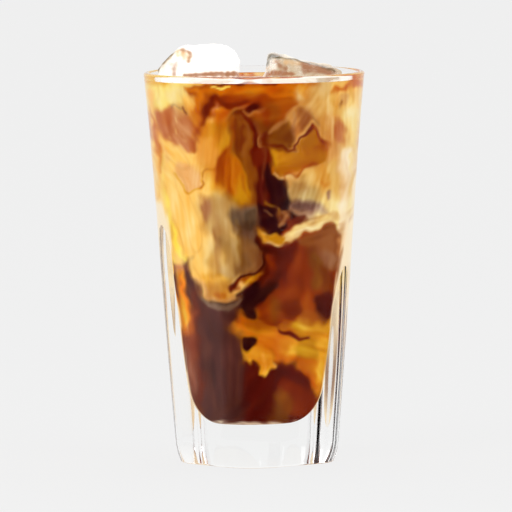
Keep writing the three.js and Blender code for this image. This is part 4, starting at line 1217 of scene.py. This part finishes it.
class Look:
    """A material or a world that is put together from expressions."""

    def __init__(self, owner):
        owner.use_nodes = True
        self.owner = owner
        self.tree = owner.node_tree
        self.tree.nodes.clear()

    def node(self, kind, settings=None, inputs=None):
        made = self.tree.nodes.new(kind)
        for name, value in (settings or {}).items():
            setattr(made, name, value)
        for name, value in (inputs or {}).items():
            if isinstance(value, Value):
                self.tree.links.new(value.socket, made.inputs[name])
            else:
                made.inputs[name].default_value = value
        return Node(self, made)

    def place(self):
        """Where a point is on the object, in metres."""
        return self.node("ShaderNodeTexCoord").out("Object")

    def noise(self, size_mm, stretch=(1, 1, 1), detail=2.0, distortion=0.0):
        """Noise from about 0 to 1, with bumps `size_mm` across, drawn out by `stretch` along each axis."""
        scale = tuple(1 / (size_mm * MM * s) for s in stretch)
        placed = self.node("ShaderNodeMapping", None, {"Vector": self.place(), "Scale": scale}).out()
        inputs = {"Vector": placed, "Scale": 1.0, "Detail": detail, "Distortion": distortion}
        return self.node("ShaderNodeTexNoise", None, inputs).out()

    def mix(self, share, first, second):
        """A colour between two colours, by the Mix node's sockets for colours."""
        return self.node("ShaderNodeMix", {"data_type": "RGBA"}, {0: share, 6: first, 7: second}).out(2)

    def times(self, colour, value):
        """A colour made brighter or darker by a value."""
        return self.node("ShaderNodeVectorMath", {"operation": "SCALE"}, {0: colour, "Scale": value}).out()

    def bump(self, height, distance_mm, strength=1.0):
        inputs = {"Height": height, "Distance": distance_mm * MM, "Strength": strength}
        return self.node("ShaderNodeBump", None, inputs).out()

    def surface(self, inputs):
        return self.node("ShaderNodeBsdfPrincipled", None, inputs).out()

    def finish(self, surface):
        self.node("ShaderNodeOutputMaterial", None, {"Surface": surface})
        return self.owner


def through_to_lamps(look, surface):
    """Lets lamplight reach what stands behind a clear surface."""
    rays = look.node("ShaderNodeLightPath")
    passing = rays.out("Is Shadow Ray").math("MAXIMUM", rays.out("Is Diffuse Ray"))
    clear = look.node("ShaderNodeBsdfTransparent", None, {"Color": (0.97, 0.97, 0.97, 1)}).out()
    return look.node("ShaderNodeMixShader", None, {0: passing, 1: surface, 2: clear}).out()


def glass_look(name, mirror):
    """Clear glass. A mirror of 1 reflects as glass does, and less keeps the studio light off the drink."""
    look = Look(bpy.data.materials.new(name))
    waves = look.noise(16, (1, 1, 2.6), detail=1.0)
    marks = look.noise(1.8, detail=4.0)
    surface = look.surface({
        "Base Color": look.mix(waves, (0.985, 0.99, 0.985, 1), (1.0, 1.0, 0.995, 1)),
        "Roughness": marks.ramp(0.55, 0.9) * 0.012,
        "IOR": GLASS_IOR,
        "Specular Tint": (mirror, mirror, mirror, 1),
        "Transmission Weight": 1.0,
        "Normal": look.bump(waves, 0.12),
    })
    return look.finish(through_to_lamps(look, surface))


def drink_side_look(glow):
    """The drink where it wets the wall, with fine threads drawn out upwards."""
    look = Look(bpy.data.materials.new("coffee and milk behind glass"))
    colour = look.node("ShaderNodeAttribute", {"attribute_name": "marbling"}).out("Color")
    threads = look.noise(0.9, (1, 1, 7), detail=3.0, distortion=0.6)
    grain = look.noise(0.45, detail=2.0)
    thickness = 0.92 + threads * 0.1 + grain * 0.06
    tinted = look.node("ShaderNodeGamma", None, {"Color": colour, "Gamma": thickness}).out()
    surface = look.surface({
        "Base Color": tinted,
        "Roughness": 0.34 + threads * 0.3,
        "IOR": DRINK_IOR,
        "Specular IOR Level": 0.0,
        "Emission Color": tinted,
        "Emission Strength": glow,
        "Normal": look.bump(threads, 0.03),
    })
    return look.finish(surface)


def drink_top_look(glow):
    """The drink's open surface, wet and a little frothy."""
    look = Look(bpy.data.materials.new("coffee and milk in the open"))
    colour = look.node("ShaderNodeAttribute", {"attribute_name": "marbling"}).out("Color")
    froth = look.noise(1.6, detail=4.0)
    tinted = look.times(colour, 0.88 + froth * 0.24)
    surface = look.surface({
        "Base Color": tinted,
        "Roughness": 0.05 + froth * 0.12,
        "IOR": DRINK_IOR,
        "Emission Color": tinted,
        "Emission Strength": glow,
        "Normal": look.bump(look.noise(6, detail=1.0), 0.15),
    })
    return look.finish(surface)


def ice_look(name, cloudiness):
    """Wet ice that is clear or milky as its stored cloudiness says."""
    look = Look(bpy.data.materials.new(name))
    stored = look.node("ShaderNodeAttribute", {"attribute_name": "tint"})
    tint = stored.out("Color")
    marks = look.noise(3.5, detail=5.0, distortion=0.8)
    cracks = look.noise(9.0, (1, 1, 1.6), detail=3.0, distortion=1.4)
    cloud = ((stored.out("Alpha") + cloudiness) * (0.55 + marks * 0.9)).clamped()
    roughness = 0.02 + cracks.ramp(0.4, 0.8) * 0.16
    normal = look.bump(cracks, 0.5)
    clear = look.surface({
        "Base Color": (0.985, 0.985, 0.98, 1),
        "Roughness": roughness,
        "IOR": ICE_IOR,
        "Transmission Weight": 1.0,
        "Normal": normal,
    })
    # the milky part gives off light in its own tint: a painted glow
    milky = look.surface({
        "Base Color": look.times(tint, 0.94 + marks * 0.1),
        "Roughness": roughness,
        "IOR": ICE_IOR,
        "Emission Color": tint,
        "Emission Strength": 0.3,
        "Normal": normal,
    })
    surface = look.node("ShaderNodeMixShader", None, {0: cloud, 1: clear, 2: milky}).out()
    return look.finish(through_to_lamps(look, surface))


def bubble_look():
    """A thin film of drink round air."""
    look = Look(bpy.data.materials.new("air bubbles"))
    film = look.noise(0.4, detail=1.0)
    surface = look.surface({
        "Base Color": look.mix(film, (1.0, 0.97, 0.9, 1), (1.0, 1.0, 1.0, 1)),
        "Roughness": 0.02 + film * 0.05,
        "IOR": WATER_IOR,
        "Transmission Weight": 1.0,
    })
    return look.finish(through_to_lamps(look, surface))


# Bubbles


def bubble_tree():
    """Round bubbles of uneven size scattered over the faces of a seat."""
    tree = bpy.data.node_groups.new("scattered bubbles", "GeometryNodeTree")
    panel = tree.interface
    panel.new_socket("Seat", in_out="INPUT", socket_type="NodeSocketGeometry")
    for name, kind in (
        ("Density", "NodeSocketFloat"),
        ("Smallest", "NodeSocketFloat"),
        ("Largest", "NodeSocketFloat"),
        ("Seed", "NodeSocketInt"),
        ("Material", "NodeSocketMaterial"),
    ):
        panel.new_socket(name, in_out="INPUT", socket_type=kind)
    panel.new_socket("Bubbles", in_out="OUTPUT", socket_type="NodeSocketGeometry")
    given = tree.nodes.new("NodeGroupInput")
    spread = tree.nodes.new("GeometryNodeDistributePointsOnFaces")
    ball = tree.nodes.new("GeometryNodeMeshIcoSphere")
    ball.inputs["Subdivisions"].default_value = 2
    ball.inputs["Radius"].default_value = 1.0
    size = tree.nodes.new("FunctionNodeRandomValue")
    size.data_type = "FLOAT"
    placed = tree.nodes.new("GeometryNodeInstanceOnPoints")
    real = tree.nodes.new("GeometryNodeRealizeInstances")
    smooth = tree.nodes.new("GeometryNodeSetShadeSmooth")
    coat = tree.nodes.new("GeometryNodeSetMaterial")
    result = tree.nodes.new("NodeGroupOutput")
    links = (
        (given.outputs["Seat"], spread.inputs["Mesh"]),
        (given.outputs["Density"], spread.inputs["Density"]),
        (given.outputs["Seed"], spread.inputs["Seed"]),
        (given.outputs["Smallest"], size.inputs[2]),
        (given.outputs["Largest"], size.inputs[3]),
        (given.outputs["Seed"], size.inputs["Seed"]),
        (spread.outputs["Points"], placed.inputs["Points"]),
        (ball.outputs["Mesh"], placed.inputs["Instance"]),
        (size.outputs[1], placed.inputs["Scale"]),
        (placed.outputs["Instances"], real.inputs["Geometry"]),
        (real.outputs["Geometry"], smooth.inputs["Geometry"]),
        (smooth.outputs["Geometry"], coat.inputs["Geometry"]),
        (given.outputs["Material"], coat.inputs["Material"]),
        (coat.outputs["Geometry"], result.inputs["Bubbles"]),
    )
    for start, end in links:
        tree.links.new(start, end)
    return tree


def scatter_bubbles(name, points, faces, values):
    """A piece of bubbles that sit on the faces of a seat."""
    piece = make_piece(name, points, faces)
    modifier = piece.modifiers.new("bubbles", "NODES")
    modifier.node_group = bubble_tree()
    for item in modifier.node_group.interface.items_tree:
        if item.in_out == "INPUT" and item.name in values:
            modifier[item.identifier] = values[item.name]
    return with_modifiers_applied(piece)


# Sizes and colours that a user would change


class IcedLatteSettings(bpy.types.PropertyGroup):
    """What can be set before the pieces are built."""

    wall_reach: bpy.props.FloatProperty(
        name="Reach into the wall",
        description="How far the drink reaches into the wall of the glass, so that no gap shows",
        default=0.06 * MM,
        min=0.0,
        unit="LENGTH",
    )
    meniscus: bpy.props.FloatProperty(
        name="Meniscus",
        description="How high the drink climbs at the wall",
        default=0.9 * MM,
        min=0.1 * MM,
        unit="LENGTH",
    )
    milk_glow: bpy.props.FloatProperty(
        name="Milk glow",
        description="Light that the milky drink passes on from behind",
        default=0.1,
        min=0.0,
        max=1.0,
    )
    melt_dents: bpy.props.FloatProperty(
        name="Melt dents",
        description="Depth of the dents that melting leaves in the ice",
        default=0.3 * MM,
        min=0.0,
        unit="LENGTH",
    )
    cloudiness: bpy.props.FloatProperty(
        name="Cloudiness",
        description="How white the ice is inside, more than where it is painted white",
        default=0.0,
        min=0.0,
        max=1.0,
    )
    largest_bubble: bpy.props.FloatProperty(
        name="Largest bubble",
        description="Radius of the largest bubble at the waterline",
        default=0.45 * MM,
        min=0.1 * MM,
        unit="LENGTH",
    )
    floor_colour: bpy.props.FloatVectorProperty(
        name="Floor",
        description="Colour of the studio's floor",
        default=(0.1, 0.1, 0.1),
        min=0.0,
        max=1.0,
        subtype="COLOR",
    )
    floor_light: bpy.props.FloatProperty(
        name="Floor light",
        description="Brightness that the floor gives off itself, so that it stays even",
        default=0.765,
        min=0.0,
    )
    daylight: bpy.props.FloatProperty(
        name="Daylight",
        description="Brightness of the light that comes from all round",
        default=1.0,
        min=0.0,
    )


def as_part(piece, slot, *nodes):
    """Makes a piece ride with the body and stand for its solids; its slot is not used."""
    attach(piece, "root")
    if nodes:
        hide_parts(*nodes)


class ICED_LATTE_OT_glass(bpy.types.Operator):
    """Builds the tumbler"""

    bl_idname = "iced_latte.glass"
    bl_label = "Glass"

    def execute(self, context):
        piece = make_piece("tumbler", *glass_mesh())
        height = face_middles(piece)[:, 2]
        bare = (height > DRINK_LEVEL + BARE_LIP_GAP) | (height < HEEL_HEIGHT)
        wall = glass_look("clear glass", WALL_MIRROR)
        lip_and_foot = glass_look("clear glass of the lip and foot", 1.0)
        give_materials(piece, wall, lip_and_foot, bare)
        as_part(piece, "glass", "glass")
        return {"FINISHED"}


class ICED_LATTE_OT_drink(bpy.types.Operator):
    """Builds the marbled drink, cut round the ice"""

    bl_idname = "iced_latte.drink"
    bl_label = "Drink"

    def execute(self, context):
        settings = context.scene.iced_latte
        reach = settings.wall_reach / MM
        piece = make_piece("marbled_coffee", *drink_mesh(reach, settings.meniscus / MM))
        cutters = []
        for block in ICE_BLOCKS.values():
            room = ice_mesh(block, -reach, settings.melt_dents / MM, ICE_ROOM_STEPS)
            cutter = make_piece("room", *room)
            cut = piece.modifiers.new("room for ice", "BOOLEAN")
            cut.operation = "DIFFERENCE"
            cut.solver = "MANIFOLD"
            cut.object = cutter
            cutters.append(cutter)
        with_modifiers_applied(piece)
        for cutter in cutters:
            bpy.data.objects.remove(cutter)
        piece.data.shade_smooth()
        points = points_of(piece)
        colour = drink_colour(points)
        inner = off_the_wall(points, reach)
        colour[inner] = surface_colour(points[inner])
        # the stored colour holds the marbling with its painted shade, highlights and glow, and the painted
        # reflection on the open surface
        store_colour(piece, "marbling", colour, 1.0)
        side = drink_side_look(settings.milk_glow)
        top = drink_top_look(settings.milk_glow)
        give_materials(piece, side, top, off_the_wall(face_middles(piece), 0.0))
        as_part(piece, "drink", "drink")
        return {"FINISHED"}


class ICED_LATTE_OT_ice(bpy.types.Operator):
    """Builds the ice that stands out of the drink"""

    bl_idname = "iced_latte.ice"
    bl_label = "Ice"

    def execute(self, context):
        settings = context.scene.iced_latte
        for number, (node, block) in enumerate(ICE_BLOCKS.items(), 1):
            piece = make_piece(node + "_melting", *ice_mesh(block, 0.0, settings.melt_dents / MM, ICE_STEPS))
            colour, cloud = ice_colour(points_of(piece), node)
            store_colour(piece, "tint", colour, cloud)
            piece.data.materials.append(ice_look(f"melting ice {number}", settings.cloudiness))
            as_part(piece, "ice", node)
        return {"FINISHED"}


class ICED_LATTE_OT_bubbles(bpy.types.Operator):
    """Scatters bubbles along the waterline"""

    bl_idname = "iced_latte.bubbles"
    bl_label = "Bubbles"

    def execute(self, context):
        settings = context.scene.iced_latte
        count = 120
        height = DRINK_LEVEL + 0.45 * settings.meniscus / MM
        radius = cavity_radius_at(height)
        rings = [ring(circle(count), radius - 1.3, height - 0.2), ring(circle(count), radius - 0.5, height)]
        faces = [(i, (i + 1) % count, count + (i + 1) % count, count + i) for i in range(count)]
        values = {
            "Density": 2.4e5,
            "Smallest": 0.12 * MM,
            "Largest": settings.largest_bubble,
            "Seed": 5,
            "Material": bubble_look(),
        }
        piece = scatter_bubbles("waterline_bubbles", np.vstack(rings), faces, values)
        as_part(piece, "drink")
        return {"FINISHED"}


def studio_light(strength):
    """Light from all round, a little brighter from above than from the horizon."""
    look = Look(bpy.data.worlds.new("soft studio"))
    direction = look.node("ShaderNodeTexCoord").out("Generated")
    upwards = look.node("ShaderNodeSeparateXYZ", None, {0: direction}).out("Z")
    sky = look.mix(upwards.ramp(0.05, 0.7), (0.88, 0.88, 0.88, 1), (1.0, 1.0, 1.0, 1))
    light = look.node("ShaderNodeBackground", None, {"Color": sky, "Strength": strength}).out()
    look.node("ShaderNodeOutputWorld", None, {"Surface": light})
    return look.owner


def soft_lamp(name, place, aim, side, power):
    """A large soft square lamp. Place, aim and side are in metres, power in watts."""
    light = bpy.data.lights.new(name, "AREA")
    light.size = side
    light.energy = power
    lamp = bpy.data.objects.new(name, light)
    lamp.location = place
    lamp.rotation_mode = "QUATERNION"
    lamp.rotation_quaternion = (Vector(place) - Vector(aim)).to_track_quat("Z", "Y")
    bpy.context.scene.collection.objects.link(lamp)


def studio_floor(colour, glow):
    """A wide round floor just under the glass, which gives off a little light so that it stays even."""
    angles = circle(CIRCLE_SIDES)
    rings = [ring(angles, radius, -0.02) for radius in (40, 120, 400, 1600, 8000)]
    floor = make_piece("studio_floor", *loft_shut_once(rings))
    look = Look(bpy.data.materials.new("pale floor"))
    lighter = tuple(part * 1.01 for part in colour)
    surface = look.surface({
        "Base Color": look.mix(look.noise(40, detail=3.0), (*colour, 1), (*lighter, 1)),
        "Roughness": 0.9,
        "Specular IOR Level": 0.0,
        "Emission Color": (1, 1, 1, 1),
        "Emission Strength": glow,
    })
    floor.data.materials.append(look.finish(surface))
    return floor


def photo_camera():
    """The camera that sees the glass as the photograph does."""
    data = bpy.data.cameras.new("photo camera")
    data.sensor_width = 36.0
    data.lens = data.sensor_width * CAMERA_DISTANCE / PICTURE_WIDTH
    data.clip_start = 0.1
    data.clip_end = 60.0
    camera = bpy.data.objects.new("photo camera", data)
    back = Vector((0, -math.cos(CAMERA_ELEVATION), math.sin(CAMERA_ELEVATION)))
    camera.location = (Vector(CAMERA_AIM) + back * CAMERA_DISTANCE) * MM
    camera.rotation_mode = "QUATERNION"
    camera.rotation_quaternion = back.to_track_quat("Z", "Y") @ Quaternion((0, 0, 1), -CAMERA_ROLL)
    bpy.context.scene.collection.objects.link(camera)
    return camera


class ICED_LATTE_OT_studio(bpy.types.Operator):
    """Builds the pale floor, the soft lamps and the camera"""

    bl_idname = "iced_latte.studio"
    bl_label = "Studio"

    def execute(self, context):
        scene = context.scene
        settings = scene.iced_latte
        scene.view_settings.view_transform = "Standard"
        scene.world = studio_light(settings.daylight)
        studio_floor(tuple(settings.floor_colour), settings.floor_light)
        aim = (0, 0, 0.08)
        soft_lamp("key lamp", (-0.8, -1.0, 1.1), aim, side=0.9, power=5)
        soft_lamp("fill lamp", (0.9, -0.8, 0.9), aim, side=0.7, power=2)
        scene.camera = photo_camera()
        return {"FINISHED"}


class ICED_LATTE_PT_panel(bpy.types.Panel):
    """Lists the pieces and their settings"""

    bl_idname = "ICED_LATTE_PT_panel"
    bl_label = "Iced Latte"
    bl_space_type = "VIEW_3D"
    bl_region_type = "UI"
    bl_category = "Iced Latte"

    def draw(self, context):
        settings = context.scene.iced_latte
        for operator in OPERATORS:
            self.layout.operator(operator.bl_idname)
        for name in IcedLatteSettings.__annotations__:
            self.layout.prop(settings, name)


OPERATORS = (
    ICED_LATTE_OT_glass,
    ICED_LATTE_OT_drink,
    ICED_LATTE_OT_ice,
    ICED_LATTE_OT_bubbles,
    ICED_LATTE_OT_studio,
)


def register():
    bpy.utils.register_class(IcedLatteSettings)
    bpy.types.Scene.iced_latte = bpy.props.PointerProperty(type=IcedLatteSettings)
    for operator in OPERATORS:
        bpy.utils.register_class(operator)
    bpy.utils.register_class(ICED_LATTE_PT_panel)


def unregister():
    bpy.utils.unregister_class(ICED_LATTE_PT_panel)
    for operator in reversed(OPERATORS):
        bpy.utils.unregister_class(operator)
    del bpy.types.Scene.iced_latte
    bpy.utils.unregister_class(IcedLatteSettings)


def main():
    """Builds the whole scene."""
    register()
    bpy.ops.iced_latte.glass()
    bpy.ops.iced_latte.drink()
    bpy.ops.iced_latte.ice()
    bpy.ops.iced_latte.bubbles()
    bpy.ops.iced_latte.studio()


if __name__ == "__main__":
    main()
